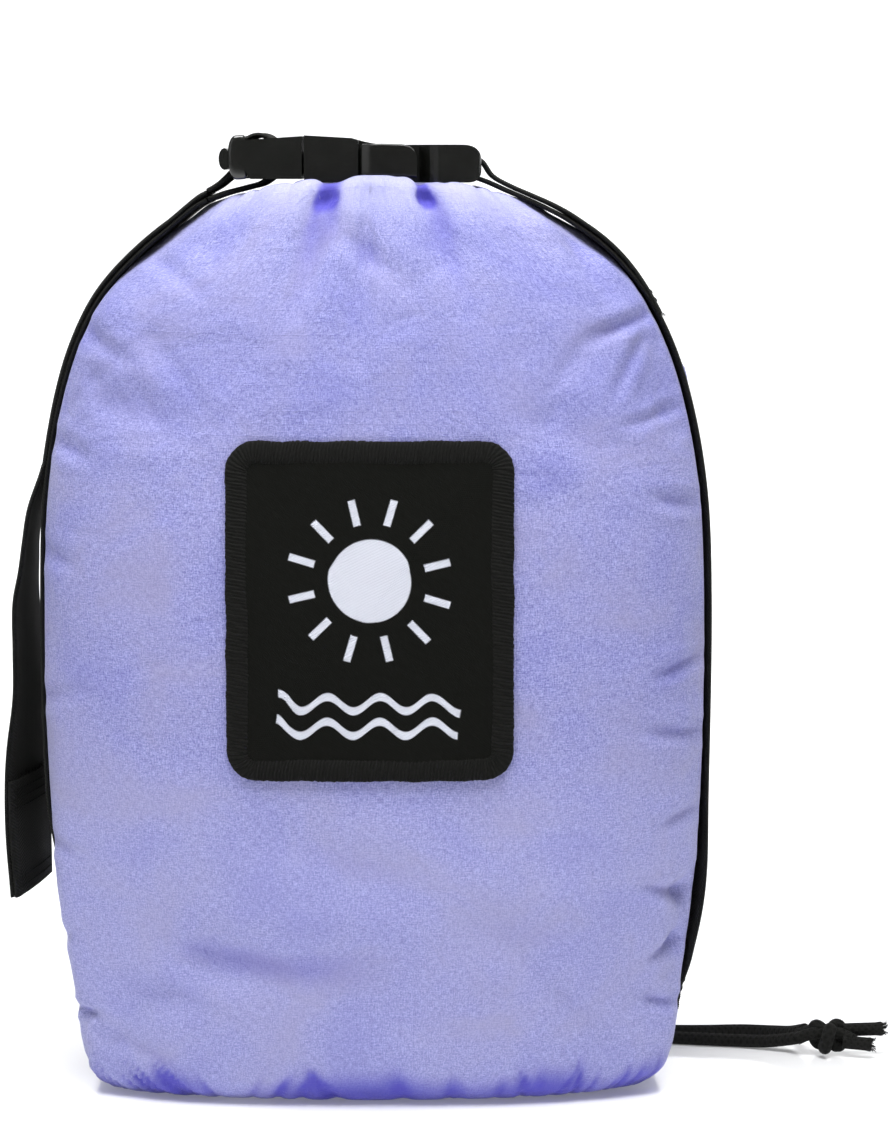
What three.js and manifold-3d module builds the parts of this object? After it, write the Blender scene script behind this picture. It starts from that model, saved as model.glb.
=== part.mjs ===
// A soft drawstring backpack: a stuffed-up cloth sack with a gathered mouth, a round-cornered
// label patch, one webbing carrying strap that runs up both sides and buckles over the mouth,
// and a drawstring whose two ends hang down the back, through a cord lock, to a knot.
// Millimetres. X runs across the bag, -Y is its front, +Z is up. The origin is the middle of
// the flat base, on the surface that the bag stands on.
import * as THREE from "three";
import { mergeVertices } from "three/addons/utils/BufferGeometryUtils.js";
import Module from "manifold-3d";

const wasm = await Module();
wasm.setup();

// ---------------------------------------------------------------- driving dimensions
const GAP = 0.3; // between pieces that touch
const CLOTH = 1.5; // wall that stands for the cloth and its seam allowances

// The sack.
const BAG_WIDTH = 246;
const BAG_DEPTH = 124;
const WIDEST_HEIGHT = 150; // where the sack is widest
const SHOULDER_TOP = 338; // top of the curve that the two shoulders follow
const CREST_TOP = 343; // top of the curve that the front and back follow
const SHOULDER_ROUNDNESS = 3.2; // exponent of that curve, seen from the front
const CREST_ROUNDNESS = 5; // and seen from the side
const SECTION_ROUNDNESS = 2.4; // exponent of a level section
const BASE_TAPER_WIDTH = 15; // how much narrower each side is at the base
const BASE_TAPER_DEPTH = 8;
const BASE_RADIUS = 18; // the soft corner between wall and base
const PANEL_RINGS_LOW = 9;
const PANEL_RINGS_HIGH = 12;
const PANEL_STEPS = 20; // round half of the sack

// The gathered mouth.
const MOUTH_HALF_WIDTH = 58; // to the middle of the hem
const CREST_HEIGHT = 341.2; // top of the hem at the front and back
const MOUTH_DIP = 8; // how far the strap presses it down at the two sides
const MOUTH_ROUNDNESS = 2.2; // exponent of its outline
const HEM_TUCK = 3.4; // from the hem's middle down to where the shoulders turn in to it
const HEM_SEAM = 0.6; // from the hem to the walls that are gathered into it
const HEM_STEPS = 44;
const NECK_CLEARANCE = 2.2; // least distance from the hem to the shoulders

// Drawstring and what is on it.
const CORD_DIAMETER = 5;
const CHANNEL_RADIUS = CORD_DIAMETER / 2 + 1.1; // the drawstring runs loose in the hem
const HEM_RADIUS = CHANNEL_RADIUS + 1.6;
const MOUTH_CREST = CREST_HEIGHT - HEM_RADIUS; // height of the hem's middle there
const EXIT_HALF_SPACING = 7;
const EXIT_TILT = 30; // degrees above level
const EYELET_BORE = CORD_DIAMETER / 2 + 0.45;
const EYELET_RADIUS = EYELET_BORE + 1.75;
const EYELET_THICKNESS = 1.1;
const LOCK_HEIGHT = 316; // the cord lock's middle
const LOCK_LENGTH = 16.6;
const LOCK_WALL = 1.6;
const LOCK_FLOAT = 1.4; // from the back of the bag to the lock
const CORD_HALF_SPACING = CORD_DIAMETER / 2 + 0.8;
const HOLE_RADIUS = CORD_DIAMETER / 2 + 0.45;
const BUTTON_RADIUS = CORD_HALF_SPACING + HOLE_RADIUS + 0.4;
const LOCK_RADIUS = BUTTON_RADIUS + GAP + 1.7;
const BUTTON_STANDS_OUT = 6.5;
const BUTTON_TRAVEL = 4.2;
const KNOT_SIZE = [20.5, 17, 14.6];
const TAIL_LENGTHS = [7.5, 12.5]; // front and back

// Label patch.
const PATCH_WIDTH = 108;
const PATCH_HEIGHT = 128;
const PATCH_CORNER = 11;
const PATCH_THICKNESS = 1.6;
const PATCH_MIDDLE = 183;
const BORDER_WIDTH = 8; // overcast thread round the patch's edge
const BORDER_THICKNESS = 1.3;

// Webbing.
const WEB_WIDTH = 50;
const WEB = 1.6; // thickness
const STRAP_LOW_END = 24; // height of the sewn lower ends
const FOLD_BACK_HEIGHT = 292; // where the doubled webbing ends on the right
const TAIL_LEAVES_AT = 236; // where the free end leaves the strap on the left
const TAIL_END_HEIGHT = 73;
const TAIL_TWIST = 15; // degrees
const TAIL_CLEARANCE = 1.5; // from its turned-in edge to the strap
const TAIL_HEM = 44; // length of the folded, stitched end
const TAIL_HEM_THICKNESS = 3.4;

// Side-release buckle, lying over the mouth along X.
const SLOT_WIDTH = WEB_WIDTH + 2;
const BUCKLE_WIDTH = SLOT_WIDTH + 10;
const MOUTH_HALF_DEPTH = BUCKLE_WIDTH / 2 + 7; // the gathers lie round the buckle
const BUCKLE_UNDERSIDE = 340;
const SOCKET_START = -24.4;
const SOCKET_END = 40.5;
const SOCKET_MOUTH_THICKNESS = 17.2;
const SOCKET_REAR_THICKNESS = 13.8;
const SOCKET_SIDE_WALL = 3.5;
const SOCKET_PLATE = 2.5;
const WINDOW_START = -4.6;
const WINDOW_END = 17.6;
const BAR_RADIUS = 2.7;
const SOCKET_BAR_X = 34.5;
const PLUG_START = -51.5;
const PLUG_END = -25.2;
const PLUG_THICKNESS = 15.6;
const PLUG_LIFT = 1.3; // plug underside above the socket's
const PRONG_ROOT_X = -27.6;
const PRONG_ROOT_Y = BUCKLE_WIDTH / 2 - 12;
const WINDOW_CORE_HALF = PRONG_ROOT_Y - 1.5;
const PRONG_ROOT_RADIUS = 2.8;
const PRONG_HEIGHT = 8;
const PAD_HEIGHT = 11;
const TONGUE_HALF = 5.5;
const TONGUE_LENGTH = 33;

// ---------------------------------------------------------------- small helpers
const rad = THREE.MathUtils.degToRad;
const root = new THREE.Group();

const finishes = {
  cloth: new THREE.MeshStandardMaterial({ color: 0x9a98e2, roughness: 0.55, metalness: 0 }),
  patch: new THREE.MeshStandardMaterial({ color: 0x151513, roughness: 0.9, metalness: 0 }),
  webbing: new THREE.MeshStandardMaterial({ color: 0x17171a, roughness: 0.85, metalness: 0 }),
  cord: new THREE.MeshStandardMaterial({ color: 0x121214, roughness: 0.9, metalness: 0 }),
  plastic: new THREE.MeshStandardMaterial({ color: 0x1c1d1b, roughness: 0.38, metalness: 0 }),
  steel: new THREE.MeshStandardMaterial({ color: 0x8f9296, roughness: 0.3, metalness: 1 }),
  eyelet: new THREE.MeshStandardMaterial({ color: 0x26272a, roughness: 0.4, metalness: 0.8 }),
};

function add(name, geometry, finish) {
  const mesh = new THREE.Mesh(geometry, finish);
  mesh.name = name;
  root.add(mesh);
  return mesh;
}

// A closed body from triangles given as points, turned so that its faces point out.
function bodyFromTriangles(corners) {
  let volume = 0;
  for (let i = 0; i < corners.length; i += 3) {
    volume += corners[i].dot(corners[i + 1].clone().cross(corners[i + 2]));
  }
  const order = volume > 0 ? [0, 1, 2] : [0, 2, 1];
  const positions = [];
  for (let i = 0; i < corners.length; i += 3) {
    order.forEach((k) => positions.push(...corners[i + k].toArray()));
  }
  const geometry = new THREE.BufferGeometry();
  geometry.setAttribute("position", new THREE.Float32BufferAttribute(positions, 3));
  geometry.computeVertexNormals();
  return geometry;
}

// The two triangles of a four-sided patch.
const quad = (a, b, c, d) => [a, b, c, a, c, d];

// A closed sheet of cloth: two grids of the same size, joined round their rims.
function sheetBody(outer, inner) {
  const rows = outer.length;
  const columns = outer[0].length;
  const corners = [];
  for (let i = 0; i < rows - 1; i++) {
    for (let j = 0; j < columns - 1; j++) {
      corners.push(...quad(outer[i][j], outer[i][j + 1], outer[i + 1][j + 1], outer[i + 1][j]));
      corners.push(...quad(inner[i][j], inner[i + 1][j], inner[i + 1][j + 1], inner[i][j + 1]));
    }
  }
  for (let j = 0; j < columns - 1; j++) {
    corners.push(...quad(outer[0][j], inner[0][j], inner[0][j + 1], outer[0][j + 1]));
    const last = rows - 1;
    corners.push(...quad(outer[last][j], outer[last][j + 1], inner[last][j + 1], inner[last][j]));
  }
  for (let i = 0; i < rows - 1; i++) {
    const last = columns - 1;
    corners.push(...quad(outer[i][0], outer[i + 1][0], inner[i + 1][0], inner[i][0]));
    corners.push(...quad(outer[i][last], inner[i][last], inner[i + 1][last], outer[i + 1][last]));
  }
  return bodyFromTriangles(corners);
}

// A closed body through rings of points that each bound a convex section.
function loftBody(rings) {
  const corners = [];
  const count = rings[0].length;
  for (let i = 0; i < rings.length - 1; i++) {
    for (let j = 0; j < count; j++) {
      const k = (j + 1) % count;
      corners.push(...quad(rings[i][j], rings[i][k], rings[i + 1][k], rings[i + 1][j]));
    }
  }
  const last = rings.length - 1;
  for (let j = 1; j < count - 1; j++) {
    corners.push(rings[0][0], rings[0][j + 1], rings[0][j]);
    corners.push(rings[last][0], rings[last][j], rings[last][j + 1]);
  }
  return bodyFromTriangles(corners);
}

// A closed body through rings of points that follow each other round a loop.
function loopBody(rings) {
  const corners = [];
  rings.forEach((ring, i) => {
    const next = rings[(i + 1) % rings.length];
    ring.forEach((point, j) => {
      const k = (j + 1) % ring.length;
      corners.push(...quad(point, ring[k], next[k], next[j]));
    });
  });
  return bodyFromTriangles(corners);
}

// A strip of webbing along a line: across gives the direction of its width at each point.
function webbingBody(line, across, thickness) {
  const rings = line.map((point, i) => {
    const before = line[Math.max(i - 1, 0)];
    const after = line[Math.min(i + 1, line.length - 1)];
    const along = after.clone().sub(before).normalize();
    const side = across(i, line.length).clone().normalize();
    const up = along.clone().cross(side).normalize();
    const half = thickness(i, line.length) / 2;
    const corner = (s, t) =>
      point.clone().addScaledVector(side, (s * WEB_WIDTH) / 2).addScaledVector(up, t * half);
    return [corner(-1, -1), corner(1, -1), corner(1, 1), corner(-1, 1)];
  });
  return loftBody(rings);
}

function solid(geometry) {
  const bare = geometry.index ? geometry.toNonIndexed() : geometry.clone();
  bare.deleteAttribute("normal");
  bare.deleteAttribute("uv");
  const merged = mergeVertices(bare, 1e-3);
  return new wasm.Manifold(
    new wasm.Mesh({
      numProp: 3,
      vertProperties: merged.attributes.position.array,
      triVerts: new Uint32Array(merged.index.array),
    }),
  );
}

function geometryOf(manifold) {
  const mesh = manifold.getMesh();
  const geometry = new THREE.BufferGeometry();
  geometry.setAttribute("position", new THREE.BufferAttribute(mesh.vertProperties, 3));
  geometry.setIndex(new THREE.BufferAttribute(mesh.triVerts, 1));
  geometry.computeVertexNormals();
  return geometry;
}

function box(x0, x1, y0, y1, z0, z1) {
  const geometry = new THREE.BoxGeometry(x1 - x0, y1 - y0, z1 - z0);
  return geometry.translate((x0 + x1) / 2, (y0 + y1) / 2, (z0 + z1) / 2);
}

// An outline in X and Z, extruded along Y and centred on y = 0.
function sideProfile(shape, width, bevel = 0) {
  const geometry = new THREE.ExtrudeGeometry(shape, {
    depth: width - 2 * bevel,
    bevelEnabled: bevel > 0,
    bevelThickness: bevel,
    bevelSize: bevel,
    bevelOffset: -bevel,
    bevelSegments: 2,
    curveSegments: 8,
  });
  return geometry.translate(0, 0, -(width - 2 * bevel) / 2).rotateX(Math.PI / 2);
}

// An outline in X and Y, extruded upwards from z0 to z1.
function plan(shape, z0, z1) {
  const geometry = new THREE.ExtrudeGeometry(shape, {
    depth: z1 - z0,
    bevelEnabled: false,
    curveSegments: 8,
  });
  return geometry.translate(0, 0, z0);
}

function tube(curve, radius, sides, steps) {
  const section = new THREE.Shape();
  for (let i = 0; i < sides; i++) {
    const angle = (2 * Math.PI * i) / sides;
    const [x, y] = [radius * Math.cos(angle), radius * Math.sin(angle)];
    if (i === 0) section.moveTo(x, y);
    else section.lineTo(x, y);
  }
  return new THREE.ExtrudeGeometry(section, { steps, extrudePath: curve, curveSegments: 1 });
}

// A cylinder along Y from y0 to y1.
function rodAlongY(radius, y0, y1, x, z, segments = 28) {
  const geometry = new THREE.CylinderGeometry(radius, radius, y1 - y0, segments);
  return geometry.translate(x, (y0 + y1) / 2, z);
}

// ---------------------------------------------------------------- the shape of the sack
const softCorner = (z) =>
  z < BASE_RADIUS ? BASE_RADIUS - Math.sqrt(BASE_RADIUS ** 2 - (BASE_RADIUS - z) ** 2) : 0;

// Half of the sack's width or depth at a height, for a sack shrunk by inset on every side.
function halfSize(full, taper, top, roundness, z, inset) {
  const half = full / 2 - inset;
  if (z < WIDEST_HEIGHT) {
    const fall = 1 - z / WIDEST_HEIGHT;
    return half - taper * fall * fall - softCorner(z - inset);
  }
  const share = Math.min((z - WIDEST_HEIGHT) / (top - inset - WIDEST_HEIGHT), 1);
  return half * (1 - share ** roundness) ** (1 / roundness);
}

const halfWidthAt = (z, inset = 0) =>
  halfSize(BAG_WIDTH, BASE_TAPER_WIDTH, SHOULDER_TOP, SHOULDER_ROUNDNESS, z, inset);
const halfDepthAt = (z, inset = 0) =>
  halfSize(BAG_DEPTH, BASE_TAPER_DEPTH, CREST_TOP, CREST_ROUNDNESS, z, inset);

const signedPower = (value, power) => Math.sign(value) * Math.abs(value) ** power;

// A point of the sack's surface, from the heights that its side and its crest have there. The
// shoulders never come inside the hem.
function sackPoint(sideHeight, crestHeight, angle, inset) {
  const c = Math.cos(angle);
  const s = Math.sin(angle);
  const neck = HEM_RADIUS + NECK_CLEARANCE - inset;
  const halfWidth = Math.max(halfWidthAt(sideHeight, inset), MOUTH_HALF_WIDTH + neck);
  const halfDepth = Math.max(halfDepthAt(crestHeight, inset), MOUTH_HALF_DEPTH + neck);
  return new THREE.Vector3(
    halfWidth * signedPower(c, 2 / SECTION_ROUNDNESS),
    halfDepth * signedPower(s, 2 / SECTION_ROUNDNESS),
    sideHeight * c * c + crestHeight * s * s,
  );
}

// The middle of the gathered hem, and of the drawstring in it. Angle 90 degrees is the back.
function mouthPoint(angle) {
  const c = Math.cos(angle);
  const s = Math.sin(angle);
  return new THREE.Vector3(
    MOUTH_HALF_WIDTH * signedPower(c, 2 / MOUTH_ROUNDNESS),
    MOUTH_HALF_DEPTH * signedPower(s, 2 / MOUTH_ROUNDNESS),
    MOUTH_CREST - MOUTH_DIP * c * c,
  );
}

// A point round the hem's middle: turn is measured down from level, on the outside.
function aroundHem(angle, distance, turn) {
  const along = mouthPoint(angle + 0.01).sub(mouthPoint(angle - 0.01)).normalize();
  const out = along.clone().cross(new THREE.Vector3(0, 0, 1)).normalize();
  const up = out.clone().cross(along);
  return mouthPoint(angle)
    .addScaledVector(out, distance * Math.cos(turn))
    .addScaledVector(up, -distance * Math.sin(turn));
}

// Where the sack's own curve ends, a little below the hem.
const SIDE_STOP = MOUTH_CREST - MOUTH_DIP - HEM_TUCK;
const CREST_STOP = MOUTH_CREST - HEM_TUCK;

function ringHeights() {
  const heights = [];
  for (let i = 0; i < PANEL_RINGS_LOW; i++) {
    const rise = i / PANEL_RINGS_LOW;
    heights.push([WIDEST_HEIGHT * rise ** 1.8, WIDEST_HEIGHT * rise ** 1.8]);
  }
  for (let i = 0; i <= PANEL_RINGS_HIGH; i++) {
    const rise = Math.sin((Math.PI / 2) * (i / PANEL_RINGS_HIGH));
    heights.push([
      WIDEST_HEIGHT + (SIDE_STOP - WIDEST_HEIGHT) * rise,
      WIDEST_HEIGHT + (CREST_STOP - WIDEST_HEIGHT) * rise,
    ]);
  }
  return heights;
}

// One of the two cloth panels: side is -1 for the front and 1 for the back.
function panel(side) {
  const row = (pointAt) =>
    Array.from({ length: PANEL_STEPS + 1 }, (_, j) => {
      const point = pointAt((Math.PI * j) / PANEL_STEPS);
      if (j === 0 || j === PANEL_STEPS) point.y = 0;
      point.y = side * (point.y + GAP / 2);
      return point;
    });
  const wall = (inset) =>
    ringHeights().map((heights) => {
      const [sideHeight, crestHeight] = heights.map((height) => Math.max(height, inset));
      return row((angle) => sackPoint(sideHeight, crestHeight, angle, inset));
    });
  const seam = (turn) => row((angle) => aroundHem(angle, HEM_RADIUS + HEM_SEAM, rad(turn)));
  return sheetBody([...wall(0), seam(20)], [...wall(CLOTH), seam(60)]);
}

function basePanel() {
  const shape = new THREE.Shape();
  const [a, b] = [halfWidthAt(0) - CLOTH - GAP, halfDepthAt(0) - CLOTH - GAP];
  const steps = 2 * PANEL_STEPS;
  for (let i = 0; i < steps; i++) {
    const angle = (2 * Math.PI * i) / steps;
    const x = a * signedPower(Math.cos(angle), 2 / SECTION_ROUNDNESS);
    const y = b * signedPower(Math.sin(angle), 2 / SECTION_ROUNDNESS);
    if (i === 0) shape.moveTo(x, y);
    else shape.lineTo(x, y);
  }
  return plan(shape, 0, CLOTH);
}

add("front_panel", panel(-1), finishes.cloth);
add("back_panel", panel(1), finishes.cloth);
add("base_panel", basePanel(), finishes.cloth);

// ---------------------------------------------------------------- gathered hem and eyelets
class MouthCurve extends THREE.Curve {
  constructor(from, to) {
    super();
    this.from = from;
    this.to = to;
  }
  getPoint(t) {
    return mouthPoint(this.from + (this.to - this.from) * t);
  }
}

// A closed ring of tube, lofted by hand because its two ends meet.
function mouthRing(radius, sides) {
  const rings = Array.from({ length: HEM_STEPS }, (_, i) =>
    Array.from({ length: sides }, (_, j) =>
      aroundHem((2 * Math.PI * i) / HEM_STEPS, radius, (2 * Math.PI * j) / sides)));
  return loopBody(rings);
}

const exitAngle = Math.acos((EXIT_HALF_SPACING / MOUTH_HALF_WIDTH) ** (MOUTH_ROUNDNESS / 2));
const exitDirection = new THREE.Vector3(0, Math.cos(rad(EXIT_TILT)), Math.sin(rad(EXIT_TILT)));

function exitMiddle(side) {
  const point = mouthPoint(exitAngle);
  return new THREE.Vector3(side * point.x, point.y, point.z);
}

// Moves a shape made along Y to an exit of the drawstring, and tilts it as the exit is.
function placeAtExit(geometry, side) {
  const middle = exitMiddle(side);
  return geometry.rotateX(rad(EXIT_TILT)).translate(middle.x, middle.y, middle.z);
}

// The hem is sewn from a front and a back strip that meet at the sides.
let hem = solid(mouthRing(HEM_RADIUS, 12)).subtract(solid(mouthRing(CHANNEL_RADIUS, 8)));
for (const side of [-1, 1]) {
  const hole = placeAtExit(rodAlongY(EYELET_BORE + GAP, 0, 2 * HEM_RADIUS, 0, 0, 16), side);
  hem = hem.subtract(solid(hole));
}
for (const [name, side] of [["hem_front", -1], ["hem_back", 1]]) {
  const near = (side * GAP) / 2;
  const far = side * (MOUTH_HALF_DEPTH + 2 * HEM_RADIUS);
  const strip = box(
    -MOUTH_HALF_WIDTH - 2 * HEM_RADIUS, MOUTH_HALF_WIDTH + 2 * HEM_RADIUS,
    Math.min(near, far), Math.max(near, far), 0, MOUTH_CREST + 2 * HEM_RADIUS);
  add(name, geometryOf(hem.intersect(solid(strip))), finishes.cloth);
}

const EYELET_SEAT = HEM_RADIUS + GAP;
for (const [name, side] of [["eyelet_left", -1], ["eyelet_right", 1]]) {
  const section = [
    [EYELET_BORE, 0],
    [EYELET_RADIUS, 0],
    [EYELET_RADIUS - 0.35, EYELET_THICKNESS * 0.7],
    [EYELET_RADIUS - 1, EYELET_THICKNESS],
    [EYELET_BORE, EYELET_THICKNESS],
    [EYELET_BORE, 0],
  ].map(([x, y]) => new THREE.Vector2(x, y));
  const ring = new THREE.LatheGeometry(section, 24).translate(0, EYELET_SEAT, 0);
  add(name, placeAtExit(ring, side), finishes.eyelet);
}

// The drawstring inside the hem runs from one exit round the front to the other.
const innerLoop = new MouthCurve(Math.PI - exitAngle + 0.04, 2 * Math.PI + exitAngle - 0.04);
add("drawstring_in_hem", tube(innerLoop, CORD_DIAMETER / 2, 8, 44), finishes.cord);

// ---------------------------------------------------------------- drawstring ends
const LOCK_FRONT = BAG_DEPTH / 2 + LOCK_FLOAT;
const LOCK_BACK = LOCK_FRONT + LOCK_LENGTH;
const CORD_Y = LOCK_BACK - LOCK_WALL - CORD_DIAMETER / 2 + 0.3; // where the cords pass the lock
const FLOOR_Z = CORD_DIAMETER / 2 + 0.1;

// Each route is chosen by hand: out of the eyelet, over and down through the lock, down the
// back of the bag and along the floor to the knot.
function strandRoute(side) {
  const start = exitMiddle(side).addScaledVector(
    exitDirection, EYELET_SEAT + EYELET_THICKNESS + GAP);
  const x = side * CORD_HALF_SPACING;
  const hanging = [
    [side * 6.9, start.y + 5, start.z + 2.6],
    [side * 6, start.y + 14, start.z + 4.2],
    [side * 4.3, CORD_Y - 6, 340.5],
    [x, CORD_Y, 332],
    [x, CORD_Y, 318],
    [x, CORD_Y, 290],
    [x, CORD_Y, 255],
    [x, CORD_Y, 210],
    [x, CORD_Y, 160],
    [x, CORD_Y, 110],
    [x, CORD_Y, 66],
  ];
  const onFloor =
    side > 0
      ? [
          [4.5, 75.5, 34], [9, 75, 14], [20, 73.5, 4.6], [36, 70.5, FLOOR_Z],
          [56, 65, FLOOR_Z], [76, 57, FLOOR_Z], [95, 49, FLOOR_Z], [112, 43.5, FLOOR_Z],
          [128, 40, FLOOR_Z], [142, 37.5, FLOOR_Z], [153, 34, 3.2], [161, 29.6, 5], [166.2, 26.6, 6.6],
        ]
      : [
          [-2.6, 77.5, 34], [1.5, 81, 14], [12, 84, 4.6], [29, 84.5, FLOOR_Z],
          [52, 79, FLOOR_Z], [75, 68.5, FLOOR_Z], [96, 58.5, FLOOR_Z], [115, 53.5, FLOOR_Z],
          [131, 56, FLOOR_Z], [145, 60, FLOOR_Z], [156, 57, 3.1], [163.6, 48, 5], [168.6, 37, 8.6],
        ];
  return [start, ...[...hanging, ...onFloor].map((p) => new THREE.Vector3(...p))];
}

const KNOT_MIDDLE = [177.5, 25, KNOT_SIZE[2] / 2 + 0.2];

for (const [name, side] of [["cord_strand_left", -1], ["cord_strand_right", 1]]) {
  const curve = new THREE.CatmullRomCurve3(strandRoute(side), false, "centripetal");
  add(name, tube(curve, CORD_DIAMETER / 2, 8, 62), finishes.cord);
}

function knot() {
  const ball = new THREE.SphereGeometry(0.5, 16, 12);
  return ball.scale(...KNOT_SIZE).rotateZ(rad(-8)).translate(...KNOT_MIDDLE);
}
add("cord_knot", knot(), finishes.cord);

// The two short ends that come out of the knot, each with its sealed tip.
const ENDS = [
  ["cord_end_front", [10.4, -4, -2.9], [0.97, -0.2, -0.14], TAIL_LENGTHS[0]],
  ["cord_end_back", [10.2, 3, 2.4], [0.98, 0.12, 0.1], TAIL_LENGTHS[1]],
];
for (const [name, from, towards, length] of ENDS) {
  const start = new THREE.Vector3(...KNOT_MIDDLE).add(new THREE.Vector3(...from));
  const end = start.clone().addScaledVector(new THREE.Vector3(...towards), length);
  const curve = new THREE.LineCurve3(start, end);
  add(name, tube(curve, CORD_DIAMETER / 2 - 0.1, 8, 2), finishes.cord);
}

// ---------------------------------------------------------------- cord lock
const cordHole = (radius) => {
  const shape = new THREE.Shape();
  shape.absarc(CORD_HALF_SPACING, 0, radius, -Math.PI / 2, Math.PI / 2, false);
  shape.absarc(-CORD_HALF_SPACING, 0, radius, Math.PI / 2, 1.5 * Math.PI, false);
  return shape;
};
let barrel = solid(rodAlongY(LOCK_RADIUS, LOCK_FRONT, LOCK_BACK, 0, LOCK_HEIGHT, 32));
const well = rodAlongY(
  BUTTON_RADIUS + GAP, LOCK_FRONT + LOCK_WALL, LOCK_BACK + 1, 0, LOCK_HEIGHT, 32);
const through = plan(cordHole(HOLE_RADIUS), LOCK_HEIGHT - 12, LOCK_HEIGHT + 12);
barrel = barrel.subtract(solid(well)).subtract(solid(through.translate(0, CORD_Y, 0)));
add("cord_lock_barrel", geometryOf(barrel), finishes.plastic);

const BUTTON_START = CORD_Y - HOLE_RADIUS - LOCK_WALL;
const BUTTON_END = LOCK_BACK + BUTTON_STANDS_OUT;
let button = solid(rodAlongY(BUTTON_RADIUS, BUTTON_START, BUTTON_END, 0, LOCK_HEIGHT, 32));
const slotRun = box(
  -CORD_HALF_SPACING - HOLE_RADIUS, CORD_HALF_SPACING + HOLE_RADIUS,
  CORD_Y - HOLE_RADIUS, CORD_Y + HOLE_RADIUS + BUTTON_TRAVEL,
  LOCK_HEIGHT - 12, LOCK_HEIGHT + 12);
button = button.subtract(solid(slotRun));
add("cord_lock_button", geometryOf(button), finishes.plastic);

class Coil extends THREE.Curve {
  constructor(radius, y0, y1, turns) {
    super();
    Object.assign(this, { radius, y0, y1, turns });
  }
  getPoint(t) {
    const angle = 2 * Math.PI * this.turns * t;
    return new THREE.Vector3(
      this.radius * Math.cos(angle),
      this.y0 + (this.y1 - this.y0) * t,
      LOCK_HEIGHT + this.radius * Math.sin(angle),
    );
  }
}
const SPRING_WIRE = 0.35;
const coil = new Coil(
  4.4, LOCK_FRONT + LOCK_WALL + SPRING_WIRE + GAP, BUTTON_START - SPRING_WIRE - GAP, 3.5);
add("cord_lock_spring", tube(coil, SPRING_WIRE, 6, 48), finishes.steel);

// ---------------------------------------------------------------- label patch
// Depth of the front wall at a place on the bag.
function frontDepth(x, z) {
  const share = Math.min(Math.abs(x) / halfWidthAt(z), 1);
  return halfDepthAt(z) * (1 - share ** SECTION_ROUNDNESS) ** (1 / SECTION_ROUNDNESS);
}

function patch() {
  const rows = [];
  const steps = 5;
  for (let i = 0; i <= steps; i++) {
    const turn = (Math.PI / 2) * (i / steps);
    rows.push([
      -PATCH_HEIGHT / 2 + PATCH_CORNER * (1 - Math.sin(turn)),
      PATCH_WIDTH / 2 - PATCH_CORNER * (1 - Math.cos(turn)),
    ]);
  }
  rows.reverse();
  const inner = PATCH_HEIGHT / 2 - PATCH_CORNER;
  const straight = [-0.6, -0.2, 0.2, 0.6].map((share) => [share * inner, PATCH_WIDTH / 2]);
  const upper = rows.map(([z, half]) => [-z, half]).reverse();
  const outline = [...rows, ...straight, ...upper];
  const grid = (lift) =>
    outline.map(([dz, half]) => {
      const z = PATCH_MIDDLE + dz;
      return Array.from({ length: 17 }, (_, j) => {
        const x = half * (j / 8 - 1);
        return new THREE.Vector3(x, -(frontDepth(x, z) + GAP / 2 + lift), z);
      });
    });
  return sheetBody(grid(GAP + PATCH_THICKNESS), grid(GAP + 0.15));
}
add("label_patch", patch(), finishes.patch);

// The overcast edge is a flat band that follows the patch's outline, on top of it.
function patchBorder() {
  const radius = PATCH_CORNER - BORDER_WIDTH / 2;
  const [a, b] = [PATCH_WIDTH - BORDER_WIDTH, PATCH_HEIGHT - BORDER_WIDTH].map((v) => v / 2 - radius);
  const middle = new THREE.Path();
  const corners = [[a, b, 0], [-a, b, 1], [-a, -b, 2], [a, -b, 3]];
  for (const [x, z, quarter] of corners) {
    middle.absarc(x, z, radius, (quarter * Math.PI) / 2, ((quarter + 1) * Math.PI) / 2, false);
  }
  middle.closePath();
  const points = middle.getSpacedPoints(72).slice(0, -1);
  const floor = GAP + PATCH_THICKNESS + GAP;
  const rings = points.map((point, i) => {
    const before = points[(i + points.length - 1) % points.length];
    const after = points[(i + 1) % points.length];
    const out = new THREE.Vector2(after.y - before.y, before.x - after.x).normalize();
    const corner = (s, lift) => {
      const x = point.x + (out.x * s * BORDER_WIDTH) / 2;
      const z = PATCH_MIDDLE + point.y + (out.y * s * BORDER_WIDTH) / 2;
      return new THREE.Vector3(x, -(frontDepth(x, z) + GAP / 2 + lift), z);
    };
    return [
      corner(-1, floor), corner(1, floor),
      corner(0.7, floor + BORDER_THICKNESS), corner(-0.7, floor + BORDER_THICKNESS),
    ];
  });
  return loopBody(rings);
}
add("patch_border", patchBorder(), finishes.patch);

// ---------------------------------------------------------------- webbing
// A point beside the sack's right side line, offset outwards by lift.
function besideSack(z, lift) {
  const step = 0.5;
  const here = new THREE.Vector2(halfWidthAt(z), z);
  const next = new THREE.Vector2(halfWidthAt(z + step), z + step);
  const along = next.sub(here).normalize();
  return new THREE.Vector3(here.x + along.y * lift, 0, z - along.x * lift);
}

// Heights up one side, closer together where the side curves more.
function sideHeights(from, to, count) {
  return Array.from({ length: count + 1 }, (_, i) => {
    const share = Math.sin((Math.PI / 2) * (i / count));
    return from + (to - from) * share;
  });
}

const LAYER = WEB + GAP; // from one layer of webbing to the next
const HUG = GAP + WEB / 2; // from the cloth to the middle of the first layer
const SHOULDER = 329.2; // height at which the straps leave the shoulders for the buckle
const OVER_HEM = CREST_HEIGHT - MOUTH_DIP + HUG; // middle of the webbing where it crosses the hem
const TAIL_STAND_OFF = (WEB_WIDTH / 2) * Math.sin(rad(TAIL_TWIST)) + TAIL_CLEARANCE;
const mirror = (point) => new THREE.Vector3(-point.x, point.y, point.z);
const flatAcross = () => new THREE.Vector3(0, 1, 0);
const evenly = () => WEB;

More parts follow.
